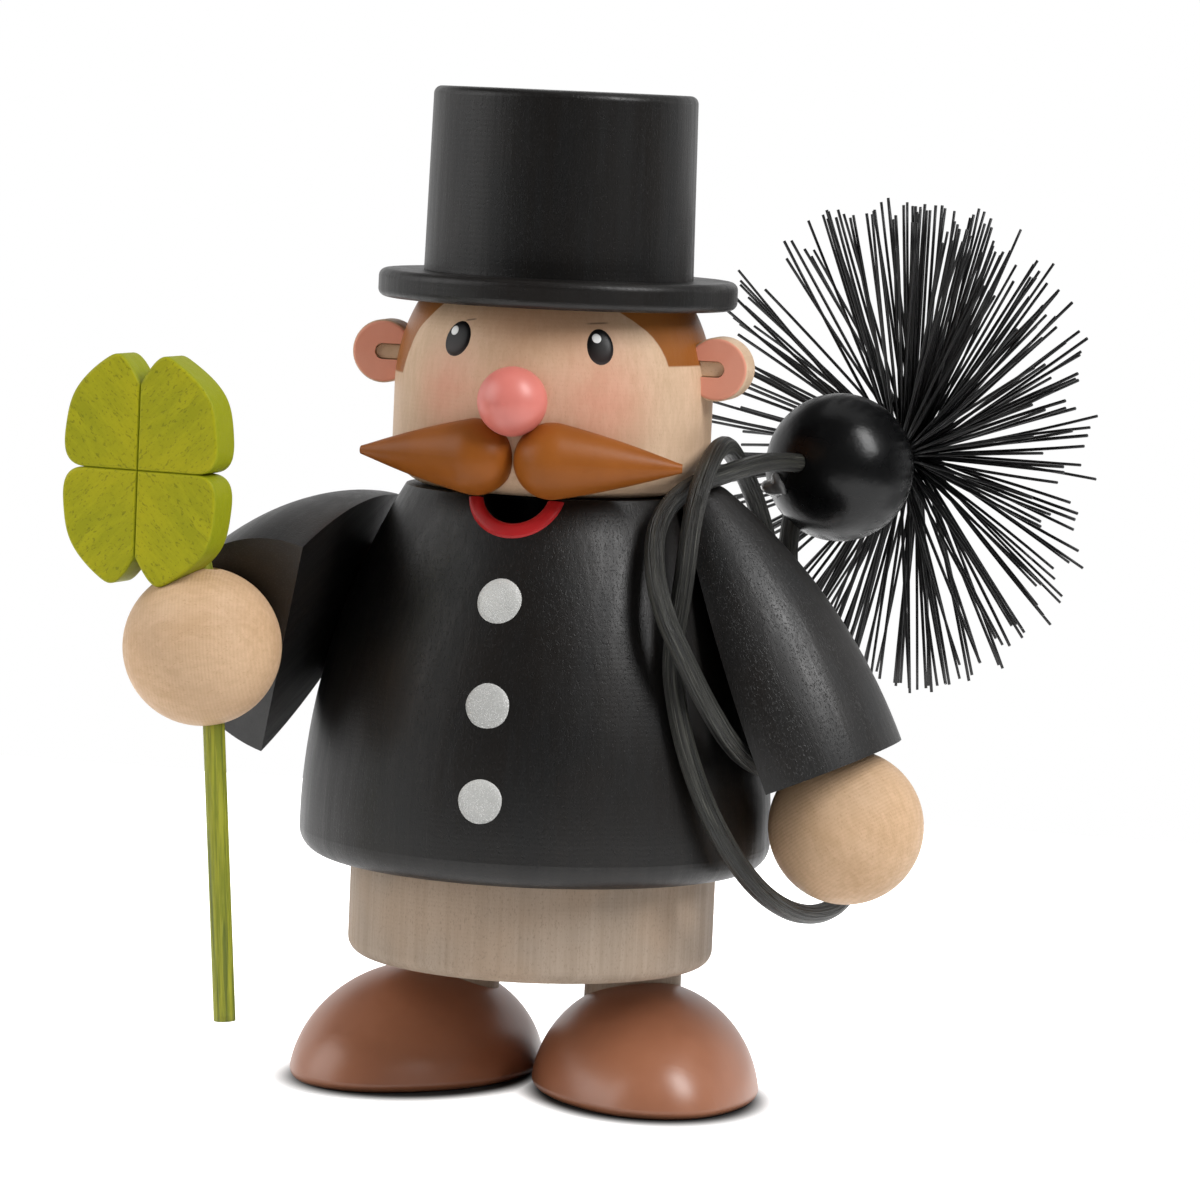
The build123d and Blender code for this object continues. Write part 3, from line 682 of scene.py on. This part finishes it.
# black cane, slung over the shoulder in two loops; sizes and route in mm
cane = {
    "radius": 1.04, "sides": 36, "flutes": 12, "depth": 0.09, "dip": 0.35, "seed": 11,
    "rough": 0.44, "specular": 0.42, "across": 20.0, "alongScale": 0.06, "bump": 1.0, "bumpDepth": 0.12,
    "dark": (0.0045, 0.0045, 0.0036), "light": (0.034, 0.0335, 0.0275),
    "fleck": (0.19, 0.185, 0.155), "fleckShare": 0.6, "groove": (0.006, 0.006, 0.005), "grooveShare": 0.8,
    "route": (
        (22.75, 17.10, 63.20), (21.13, 10.90, 63.94), (19.76, 3.49, 63.76), (17.81, -2.88, 62.98),
        (15.22, -7.09, 61.90), (13.47, -11.26, 58.85), (14.04, -14.32, 54.57), (15.83, -16.83, 50.31),
        (18.08, -17.18, 46.24), (20.27, -15.62, 41.64), (22.44, -11.98, 37.02), (24.31, -5.55, 34.41),
        (24.45, 4.55, 34.29), (23.57, 11.12, 36.79), (22.09, 14.92, 43.04), (20.45, 15.19, 51.67),
        (18.80, 11.64, 59.66), (17.34, 6.00, 64.69), (17.62, -1.33, 66.20), (17.56, -7.50, 64.42),
        (16.85, -10.80, 59.37), (16.88, -13.06, 52.88), (16.29, -14.88, 46.00), (17.54, -15.61, 39.76),
        (19.55, -15.04, 33.57), (22.17, -13.45, 27.98), (25.19, -10.14, 22.99), (28.00, -2.99, 19.80),
        (30.60, 5.00, 19.90), (31.40, 12.20, 24.20), (29.60, 17.40, 31.60), (26.20, 19.40, 40.00),
        (22.60, 19.40, 47.60), (20.20, 19.00, 53.60), (21.20, 20.20, 59.60),
    ),
}


# a fluted tube along a route, with u in mm along it and v round it
def tubeMesh(name, route, c):
    chance = random.Random(c["seed"])
    sides, flutes, depth = c["sides"], c["flutes"], c["depth"]
    ribs = [1.0 - depth * chance.random() for flute in range(flutes)]
    points, marks = [], []
    ahead = (route[1] - route[0]).normalized()
    side = ahead.orthogonal().normalized()
    run = 0.0
    for i, here in enumerate(route):
        last, coming = route[max(i - 1, 0)], route[min(i + 1, len(route) - 1)]
        turned = (coming - last).normalized()
        side = (ahead.rotation_difference(turned) @ side).normalized()
        ahead = turned
        other = ahead.cross(side)
        run += (here - last).length
        for k in range(sides):
            share = k / sides * flutes
            low, high = ribs[int(share) % flutes], ribs[(int(share) + 1) % flutes]
            dip = 1 - c["dip"] * depth * (0.5 - 0.5 * math.cos(2 * math.pi * share))
            size = c["radius"] * mm * (low + (high - low) * (share % 1)) * dip
            a = 2 * math.pi * k / sides
            points.append(here + (side * math.cos(a) + other * math.sin(a)) * size)
            marks.append((run / mm, k / sides))
    mesh = newMesh(name, points, bandFaces(len(route), sides) + capFaces(len(route), sides))
    layer = mesh.uv_layers.new(name="cane")
    for face in mesh.polygons:
        corners = [(j, mesh.loops[j].vertex_index) for j in face.loop_indices]
        seam = {0, sides - 1} <= {corner % sides for j, corner in corners}  # where v runs on to 1
        for j, corner in corners:
            u, v = marks[corner]
            layer.data[j].uv = (u, 1.0 if seam and v == 0 else v)
    return mesh


def caneMaterial(name, c):
    material, tree, surface = newMaterial(name, Specular_IOR_Level=c["specular"], Roughness=c["rough"])
    where = tree.nodes.new("ShaderNodeTexCoord")
    fibre = useGroup(
        tree, caneFibre, Vector=where.outputs["UV"], Across=c["across"], Along=c["alongScale"]
    )
    body = mixColour(tree, fibre["Fibre"], c["dark"], c["light"])
    body = mixColour(tree, times(tree, fibre["Fleck"], c["fleckShare"]), body, c["fleck"])
    body = mixColour(tree, times(tree, fibre["Groove"], c["grooveShare"]), body, c["groove"])
    join(tree, body, surface["Base Color"])
    bump(tree, surface, calc(tree, "SUBTRACT", fibre["Fibre"], fibre["Groove"]), c["bump"], c["bumpDepth"])
    return material


def splineRoute(points):
    curve = bpy.data.curves.new("caneRoute", "CURVE")
    curve.dimensions = "3D"
    curve.resolution_u = 12
    spline = curve.splines.new("NURBS")
    spline.points.add(len(points) - 1)
    for spot, at in zip(spline.points, points):
        spot.co = (*place(*at), 1)
    spline.order_u = 3
    spline.use_endpoint_u = True
    holder = bpy.data.objects.new("caneRoute", curve)
    scene.collection.objects.link(holder)
    line = bpy.data.meshes.new_from_object(holder)
    route = [Vector(v.co) for v in line.vertices]
    bpy.data.objects.remove(holder)
    bpy.data.meshes.remove(line)
    return route


caneRoute = splineRoute(cane["route"])
canePiece = newPiece("caneCoil", tubeMesh("caneCoil", caneRoute, cane), caneMaterial("darkCane", cane))
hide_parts("sweep_cane")

# clover stem: green cane, straight as far as the hand holds it, then bent behind the leaves
stem = {
    "radius": 1.09, "sides": 30, "flutes": 15, "depth": 0.06, "dip": 0.35, "seed": 5,
    "rough": 0.5, "specular": 0.34, "across": 20.0, "alongScale": 0.12, "bump": 0.6, "bumpDepth": 0.12,
    "dark": (0.200, 0.225, 0.015), "light": (0.345, 0.350, 0.028),
    "fleck": (0.46, 0.45, 0.08), "fleckShare": 0.5, "groove": (0.065, 0.095, 0.012), "grooveShare": 0.75,
    "foot": (-24.39, -24.22, 8.63), "lean": -4.4, "length": 50.0, "held": 0.73, "bend": 2.0, "steps": 40,
}


def stemRoute(s):
    lean = math.radians(s["lean"])
    way = Vector((math.sin(lean), 0, math.cos(lean))) * s["length"] * mm
    route = []
    for i in range(s["steps"] + 1):
        share = i / s["steps"]
        above = max(share - s["held"], 0) / (1 - s["held"])
        route.append(place(*s["foot"]) + way * share - Vector((s["bend"] * mm * above**2, 0, 0)))
    return route


stemMesh = tubeMesh("cloverStem", stemRoute(stem), stem)
stemPiece = newPiece("cloverStem", stemMesh, caneMaterial("greenCane", stem))
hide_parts("clover_stem")

# brush: hub and nylon strands; mm, with the fan's lean in degrees
brush = {
    "ball": (25.3, 21.5, 62.8), "axis": (0.45, 0.89, 0.08), "seed": 29,
    "hubStart": 9.2, "hubLength": 5.4, "hubRadius": 1.9, "hubSides": 28,
    "hubEdge": ((0.0, 0.55), (0.15, 0.85), (0.5, 1.0)),  # distance from the end, share of the radius
    # strands in each part of a turn from image right, and how they gather and spread
    "tufts": (7, 9, 14, 19, 26, 32, 15, 6, 8, 8, 6, 6, 6, 7, 8, 9, 18, 22, 11, 9, 9, 8, 7, 6),
    "bundle": 0.55, "bundles": 3, "jitter": 0.12, "squash": 0.75, "fan": (-13.0, 2.0), "stray": 3.5,
    "rootFrom": 0.35, "rootAlong": 4.7, "root": 0.9, "bend": 0.9, "bendAhead": 0.6,
    # length, with the shares added above and below and taken off at image right, save for a few long ones
    "length": (22.8, 23.9), "tall": 0.09, "low": 0.01, "short": 0.13, "long": 0.15,
    "thick": 0.38, "half": (0.45, 0.53), "taper": 0.12, "sides": 6, "steps": 7,
}


def brushMesh(b):
    chance = random.Random(b["seed"])
    ahead = Vector(b["axis"]).normalized()
    side = ahead.cross(upward).normalized()
    up = side.cross(ahead)
    start = place(*b["ball"])
    points, faces = [], []

    def addRing(centre, across, over, radius, sides):
        for k in range(sides):
            a = 2 * math.pi * k / sides
            points.append(centre + (across * math.cos(a) + over * math.sin(a)) * radius * mm)

    def closeTube(rows, sides):
        first = len(points) - rows * sides
        faces.extend(bandFaces(rows, sides, first) + capFaces(rows, sides, first))

    hub = list(b["hubEdge"]) + [(b["hubLength"] - along, size) for along, size in reversed(b["hubEdge"])]
    for along, size in hub:
        centre = start + ahead * (b["hubStart"] + along) * mm
        addRing(centre, side, up, b["hubRadius"] * size, b["hubSides"])
    closeTube(len(hub), b["hubSides"])

    sectorTurn = 2 * math.pi / len(b["tufts"])
    strands = [(sector, i / count) for sector, count in enumerate(b["tufts"]) for i in range(count)]
    for sector, spot in strands:
        if chance.random() < b["bundle"]:
            spot = (math.floor(spot * b["bundles"]) + 0.5) / b["bundles"]
        seen = sectorTurn * (sector + spot + chance.uniform(-b["jitter"], b["jitter"]))
        turn = math.atan2(b["squash"] * math.sin(seen), math.cos(seen))
        share = chance.random()
        fanStart, fanEnd = b["fan"]
        fan = math.radians(fanStart + (fanEnd - fanStart) * share + chance.uniform(-1, 1) * b["stray"])
        out = side * math.cos(turn) + up * math.sin(turn)
        way = (out * math.cos(fan) + ahead * math.sin(fan)).normalized()
        sway = way.cross(ahead) * chance.uniform(-1, 1)
        sway = (sway + ahead * chance.uniform(-b["bendAhead"], b["bendAhead"])) * b["bend"]
        length = chance.uniform(*b["length"])
        height = math.sin(seen)
        reach = 0 if chance.random() < b["long"] else max(math.cos(seen), 0)
        length *= 1 + (b["tall"] if height > 0 else b["low"]) * height**2 - b["short"] * reach**2
        along = b["hubStart"] + b["rootFrom"] + b["rootAlong"] * share
        root = start + (ahead * along + out * b["root"]) * mm
        across = way.cross(ahead).normalized()
        over = way.cross(across)
        radius = b["thick"] * chance.uniform(*b["half"])
        for j in range(b["steps"]):
            t = j / (b["steps"] - 1)
            here = root + (way * length * t + sway * t * t) * mm
            addRing(here, across, over, radius * (1 - b["taper"] * t), b["sides"])
        closeTube(b["steps"], b["sides"])
    return newMesh("brushBristles", points, faces)


nylon = {
    **plainPaint, "dark": (0.0055, 0.0055, 0.0060), "light": (0.012, 0.012, 0.0125),
    "rough": 0.38, "specular": 0.4, "peel": 1500.0, "bump": 0.1,
}
brushPiece = newPiece("brushBristles", brushMesh(brush), paintMaterial("blackNylon", nylon))
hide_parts("brush_bristles")
print("brush set")

# glue: a clear lump where the cane's end meets the ball
glue = {
    "at": (20.0, 16.6, 60.9), "size": (1.5, 1.3, 1.1), "seed": 17, "rows": 18, "sides": 28,
    "waves": 6, "waveRate": (2, 5), "wavePhase": (0, 6.3), "waveDepth": 0.07, "waveRound": 1.3,
    "clear": 0.55, "ior": 1.48, "tint": (0.55, 0.56, 0.56), "dark": (0.25, 0.25, 0.25), "rough": 0.16,
    "peel": 1100.0, "bump": 0.7, "bumpDepth": 0.2,
}


def glueMesh(g):
    chance = random.Random(g["seed"])
    waves = [
        (chance.uniform(*g["waveRate"]), chance.uniform(*g["waveRate"]), chance.uniform(*g["wavePhase"]))
        for wave in range(g["waves"])
    ]
    rows, sides = g["rows"], g["sides"]
    points = []
    for i in range(1, rows):
        rise = math.pi * i / rows
        for k in range(sides):
            a = 2 * math.pi * k / sides
            lump = 1.0
            for m, n, phase in waves:
                swing = m * math.cos(a + phase) * math.sin(rise) * g["waveRound"] + n * math.cos(rise) + phase
                lump += g["waveDepth"] * math.sin(swing)
            spot = Vector((math.cos(a) * math.sin(rise), math.sin(a) * math.sin(rise), math.cos(rise))) * lump
            points.append(place(*(g["at"][j] + spot[j] * g["size"][j] for j in range(3))))
    faces = bandFaces(rows - 1, sides, flip=True) + capFaces(rows - 1, sides, flip=True)
    return newMesh("glueLump", points, faces)


def glueMaterial(g):
    material, tree, surface = newMaterial(
        "clearGlue", Roughness=g["rough"], Transmission_Weight=g["clear"], IOR=g["ior"]
    )
    skin = useGroup(tree, paintSkin, Vector=objectSpace(tree), Scale=g["peel"])
    join(tree, mixColour(tree, skin["Patch"], g["dark"], g["tint"]), surface["Base Color"])
    bump(tree, surface, skin["Height"], g["bump"], g["bumpDepth"])
    return material


newPiece("glueLump", glueMesh(glue), glueMaterial(glue))

# raised spots of paint on a turned surface: domed ovals with an uneven rim, mm and degrees
plainSpot = {
    "rings": 9, "sides": 40, "waves": (2, 3, 5), "wavePhase": (0, 6.3), "sink": 0.02, "seed": 1,
    "base": 0.0, "tilt": 0.0,
}


def spotMesh(name, turnedRadius, s):
    chance = random.Random(s["seed"])
    waves = [
        (n, chance.uniform(-1, 1) * s["uneven"] / n, chance.uniform(*s["wavePhase"])) for n in s["waves"]
    ]
    rings, sides = s["rings"], s["sides"]
    middle, tilt = math.radians(s["angle"]), math.radians(s["tilt"])

    def onTurned(u, v, share):  # share from the middle to the rim
        angle, z = middle + u / turnedRadius(s["z"]), s["z"] + v
        r = turnedRadius(z) + s["base"] + domeLift(share, s)
        return place(r * math.sin(angle), -r * math.cos(angle), z)

    points = [onTurned(0.0, 0.0, 0.0)]
    for i in range(1, rings + 1):
        share = i / rings
        for k in range(sides):
            a = 2 * math.pi * k / sides
            rim = 1 + sum(size * math.sin(n * a + phase) for n, size, phase in waves)
            u, v = share * rim * s["width"] / 2 * math.cos(a), share * rim * s["height"] / 2 * math.sin(a)
            leanU, leanV = u * math.cos(tilt) + v * math.sin(tilt), v * math.cos(tilt) - u * math.sin(tilt)
            points.append(onTurned(leanU, leanV, share))
    faces = [(0, 1 + k, 1 + (k + 1) % sides) for k in range(sides)]
    return newMesh(name, points, faces + bandFaces(rings, sides, first=1, flip=True))


# buttons: speckled silver-white raised paint
button = {
    **plainSpot, "width": 4.4, "height": 4.3, "thick": 0.30, "uneven": 0.05, "angle": 0.0,
    "heights": (50.8, 40.9, 31.8), "seeds": (3, 4, 5),
    "dark": (0.45, 0.45, 0.435), "light": (0.56, 0.56, 0.54), "fleck": (0.84, 0.84, 0.82),
    "speckScale": 6500.0, "glint": 0.75, "glintBand": (0.18, 0.36), "metal": 0.35, "metalBand": (0.1, 0.4),
    "rough": 0.42, "specular": 0.45, "peel": 1400.0, "bump": 0.5, "bumpDepth": 0.08,
}


def buttonMaterial(b):
    material, tree, surface = newMaterial(
        "silverPaint", Roughness=b["rough"], Specular_IOR_Level=b["specular"]
    )
    space = objectSpace(tree)
    speck = addNode(tree, "ShaderNodeTexVoronoi", Vector=space, Scale=b["speckScale"]).outputs["Distance"]
    skin = useGroup(tree, paintSkin, Vector=space, Scale=b["peel"])
    base = mixColour(tree, skin["Patch"], b["dark"], b["light"])
    glint = ramp(tree, speck, *b["glintBand"], b["glint"], 0.0)
    join(tree, mixColour(tree, glint, base, b["fleck"]), surface["Base Color"])
    join(tree, ramp(tree, speck, *b["metalBand"], b["metal"], 0.0), surface["Metallic"])
    bump(tree, surface, calc(tree, "ADD", skin["Height"], speck), b["bump"], b["bumpDepth"])
    return material


silver = buttonMaterial(button)
for i, (z, seed) in enumerate(zip(button["heights"], button["seeds"])):
    name = "button_%d" % (i + 1)
    newPiece(name, spotMesh(name, coatRadius, {**button, "z": z, "seed": seed}), silver)

# eyes: glossy dark drops, browner below as a painted sheen, each with a white glint of paint
eye = {
    **plainSpot, "width": 3.0, "height": 3.5, "thick": 0.22, "uneven": 0.015,
    # the browner colour toward the bottom is a painted sheen, over a band of heights in mm from the eye's
    # middle
    "black": (0.004, 0.0035, 0.0038), "sheenBrown": (0.026, 0.017, 0.016), "sheenBand": (-1.7, 0.5),
    "specular": 0.22, "rough": (0.34, 0.42), "peel": 1300.0, "bump": 0.1, "bumpDepth": 0.06,
}
eyes = {
    "eye_right": {"angle": -25.9, "z": 75.6, "tilt": 13.0, "dot": (-27.6, 76.35)},
    "eye_left": {"angle": 30.0, "z": 75.5, "tilt": -3.0, "width": 2.7, "dot": (28.6, 76.3)},
}
eyeDot = {**plainSpot, "width": 0.95, "height": 0.95, "thick": 0.10, "base": 0.17, "uneven": 0.04}
dotPaint = {
    **plainPaint, "dark": (0.78, 0.78, 0.77), "light": (0.86, 0.86, 0.85),
    "rough": 0.35, "specular": 0.45, "peel": 1800.0, "bump": 0.12,
}


def eyeMaterial(name, e, z):
    material, tree, surface = newMaterial(name, Specular_IOR_Level=e["specular"])
    space = objectSpace(tree)
    skin = useGroup(tree, paintSkin, Vector=space, Scale=e["peel"])
    above = calc(tree, "MULTIPLY_ADD", splitAxes(tree, space)["Z"], toMm, -z)
    # painted sheen: browner toward the bottom of the eye
    low = ramp(tree, above, *e["sheenBand"], 1.0, 0.0)
    join(tree, mixColour(tree, low, e["black"], e["sheenBrown"]), surface["Base Color"])
    join(tree, ramp(tree, skin["Patch"], 0.0, 1.0, *e["rough"]), surface["Roughness"])
    bump(tree, surface, skin["Height"], e["bump"], e["bumpDepth"])
    return material


whiteDot = paintMaterial("whiteDot", dotPaint)
for name, own in eyes.items():
    newPiece(name, spotMesh(name, headRadius, {**eye, **own}), eyeMaterial(name + "Paint", eye, own["z"]))
    dotAngle, dotHeight = own["dot"]
    dot = {**eyeDot, "angle": dotAngle, "z": dotHeight}
    newPiece(name + "_dot", spotMesh(name + "_dot", headRadius, dot), whiteDot)

# red ring round the mouth, on the coat's top edge
mouth = {
    "z": 61.2, "slope": 12.0, "outer": 4.85, "inner": 3.32, "thick": 0.28, "sink": 0.02,
    "rows": 8, "sides": 72, "top": 60.46, "clear": 0.05,  # the ring stops this far under the head
    "ahead": 14.3, "search": 6.0, "halvings": 40, "upward": 5.0,  # how the ring is laid on the coat
}
ringPaint = {
    **plainPaint, "dark": (0.38, 0.008, 0.010), "light": (0.45, 0.012, 0.014),
    "rough": 0.42, "specular": 0.32, "peel": 900.0, "bump": 0.25,
}


def ontoCoat(spot, axis, m):
    # slides a point along the mouth's axis until it meets the coat
    near, far = -m["search"], m["search"]
    for halving in range(m["halvings"]):
        reach = (near + far) / 2
        met = spot + axis * reach
        if math.hypot(met.x, met.y) > coatRadius(met.z):
            near = reach
        else:
            far = reach
    return met


def ringMesh(m):
    rows, sides = m["rows"], m["sides"]
    slope = math.radians(m["slope"])
    axis = Vector((0, math.cos(slope), -math.sin(slope)))
    rise = Vector((0, math.sin(slope), math.cos(slope)))
    points, faces = [], []
    for k in range(sides + 1):
        for i in range(rows + 1):
            share = i / rows
            r = m["inner"] + (m["outer"] - m["inner"]) * share
            half = math.acos((m["z"] - m["top"] + m["clear"]) / r / math.cos(slope))
            a = half * (2 * k / sides - 1)
            flat = Vector((r * math.sin(a), -m["ahead"], m["z"])) - rise * r * math.cos(a)
            spot = ontoCoat(flat, axis, m)
            outward = Vector((spot.x, spot.y, m["upward"])).normalized()
            points.append(place(*(spot + outward * domeLift(abs(2 * share - 1), m))))
    for k in range(sides):
        for i in range(rows):
            j = k * (rows + 1) + i
            faces.append((j, j + 1, j + rows + 2, j + rows + 1))
    return newMesh("mouthRing", points, faces)


newPiece("mouthRing", ringMesh(mouth), paintMaterial("redRing", ringPaint))
print("painted details set")

# white floor, with a soft painted contact shadow round the shoes, lying a little before each shoe
floor = {
    # deep is the colour of the painted shadow right at the shoes
    "size": 0.44, "tint": (0.95, 0.95, 0.95), "deep": (0.04, 0.04, 0.04),
    "edge": (0.90, 1.26), "shadowBand": (0.87, 1.22),  # where white and shade end, in shares of the half sizes
    "shoes": ((-12.5, 5.3, -18.0), (11.5, 4.3, 18.0)),  # middle of each shoe, and its splay in degrees
    "half": (11.5, 15.6), "ahead": 2.8,  # half width and length of each shade, which lies before its shoe
}


def seenDirectly(tree):
    # one for rays from the camera, and for what metal or clear glue shows
    rays = tree.nodes.new("ShaderNodeLightPath").outputs
    mirrored = calc(tree, "MAXIMUM", rays["Is Glossy Ray"], rays["Is Transmission Ray"])
    return calc(tree, "MAXIMUM", rays["Is Camera Ray"], mirrored)


def floorMaterial(f):
    material = bpy.data.materials.new("floor")
    material.use_nodes = True
    tree = material.node_tree
    tree.nodes.clear()
    where = tree.nodes.new("ShaderNodeTexCoord")
    toward = flatAhead * -f["ahead"]
    outside = []
    for x, y, splay in f["shoes"]:  # one at the outline of each shoe's shade
        mapped = addNode(
            tree, "ShaderNodeMapping", vector_type="TEXTURE", Vector=where.outputs["Object"],
            Location=place(x + toward.x, y + toward.y, 0), Rotation=(0, 0, math.radians(splay)),
            Scale=(f["half"][0] * mm, f["half"][1] * mm, 1),
        )
        outside.append(vectorMath(tree, "LENGTH", mapped.outputs[0]))
    nearest = calc(tree, "MINIMUM", *outside)
    # painted shadow: the floor's colour falls to the deep grey round each shoe
    shade = mixColour(tree, ramp(tree, nearest, *f["shadowBand"]), f["deep"], f["tint"])
    white = times(tree, seenDirectly(tree), ramp(tree, nearest, *f["edge"]))
    diffuse = addNode(tree, "ShaderNodeBsdfDiffuse", Color=shade)
    glow = addNode(tree, "ShaderNodeEmission", Strength=white)
    both = tree.nodes.new("ShaderNodeAddShader")
    join(tree, diffuse.outputs[0], both.inputs[0])
    join(tree, glow.outputs[0], both.inputs[1])
    join(tree, both.outputs[0], tree.nodes.new("ShaderNodeOutputMaterial").inputs["Surface"])
    return material


def makeFloor(f):
    half = f["size"] / 2
    corners = [(-half, -half, 0), (half, -half, 0), (half, half, 0), (-half, half, 0)]
    mesh = newMesh("floor", corners, [(0, 1, 2, 3)])
    mesh.materials.append(floorMaterial(f))
    piece = bpy.data.objects.new("floor", mesh)
    scene.collection.objects.link(piece)


makeFloor(floor)

# surround: white to the camera, while gloss shows white cloth low behind and a darker room before it
studio = {"white": 1.0, "air": 0.27, "room": 0.09, "clothTop": (0.30, 0.70), "clothSide": (-0.15, 0.45)}


def makeAir(v):
    world = bpy.data.worlds.new("studio")
    scene.world = world
    world.use_nodes = True
    tree = world.node_tree
    air = tree.nodes["Background"].inputs
    air["Color"].default_value = (1, 1, 1, 1)
    where = tree.nodes.new("ShaderNodeTexCoord").outputs["Generated"]
    behind = ramp(tree, vectorMath(tree, "DOT_PRODUCT", where, flatAhead), *v["clothSide"])
    low = ramp(tree, splitAxes(tree, where)["Z"], *v["clothTop"], 1.0, 0.0)
    sweep = calc(tree, "MULTIPLY_ADD", times(tree, behind, low), v["white"] - v["room"], v["room"])
    rays = tree.nodes.new("ShaderNodeLightPath").outputs
    seen = calc(tree, "MAXIMUM", sweep, rays["Is Camera Ray"])
    lit = times(tree, calc(tree, "SUBTRACT", seen, v["air"]), seenDirectly(tree))
    join(tree, calc(tree, "ADD", lit, v["air"]), air["Strength"])


makeAir(studio)

# soft lamps: turn from the camera's line and rise in degrees, distance and size in metres, power in watts
lamps = {
    "key": {"turn": 55.0, "rise": 42.0, "away": 0.80, "size": (0.22, 0.46), "power": 5.2},
    "fill": {"turn": -80.0, "rise": 24.0, "away": 0.75, "size": (0.60, 0.60), "power": 2.9},
    "top": {"turn": 150.0, "rise": 68.0, "away": 0.90, "size": (0.80, 0.80), "power": 1.2},
}
aimHeight = 0.05  # the lamps look at the figure's middle


def softbox(name, v):
    data = bpy.data.lights.new(name, "AREA")
    data.shape = "RECTANGLE"
    data.size, data.size_y = v["size"]
    data.energy = v["power"]
    lamp = bpy.data.objects.new(name, data)
    scene.collection.objects.link(lamp)
    a, b = math.radians(view["azimuth"] + v["turn"]), math.radians(v["rise"])
    spot = Vector((math.sin(a) * math.cos(b), -math.cos(a) * math.cos(b), math.sin(b))) * v["away"]
    lamp.location = spot + upward * aimHeight
    lamp.rotation_euler = (-spot).to_track_quat("-Z", "Y").to_euler()


for name, values in lamps.items():
    softbox(name, values)
print("light set")
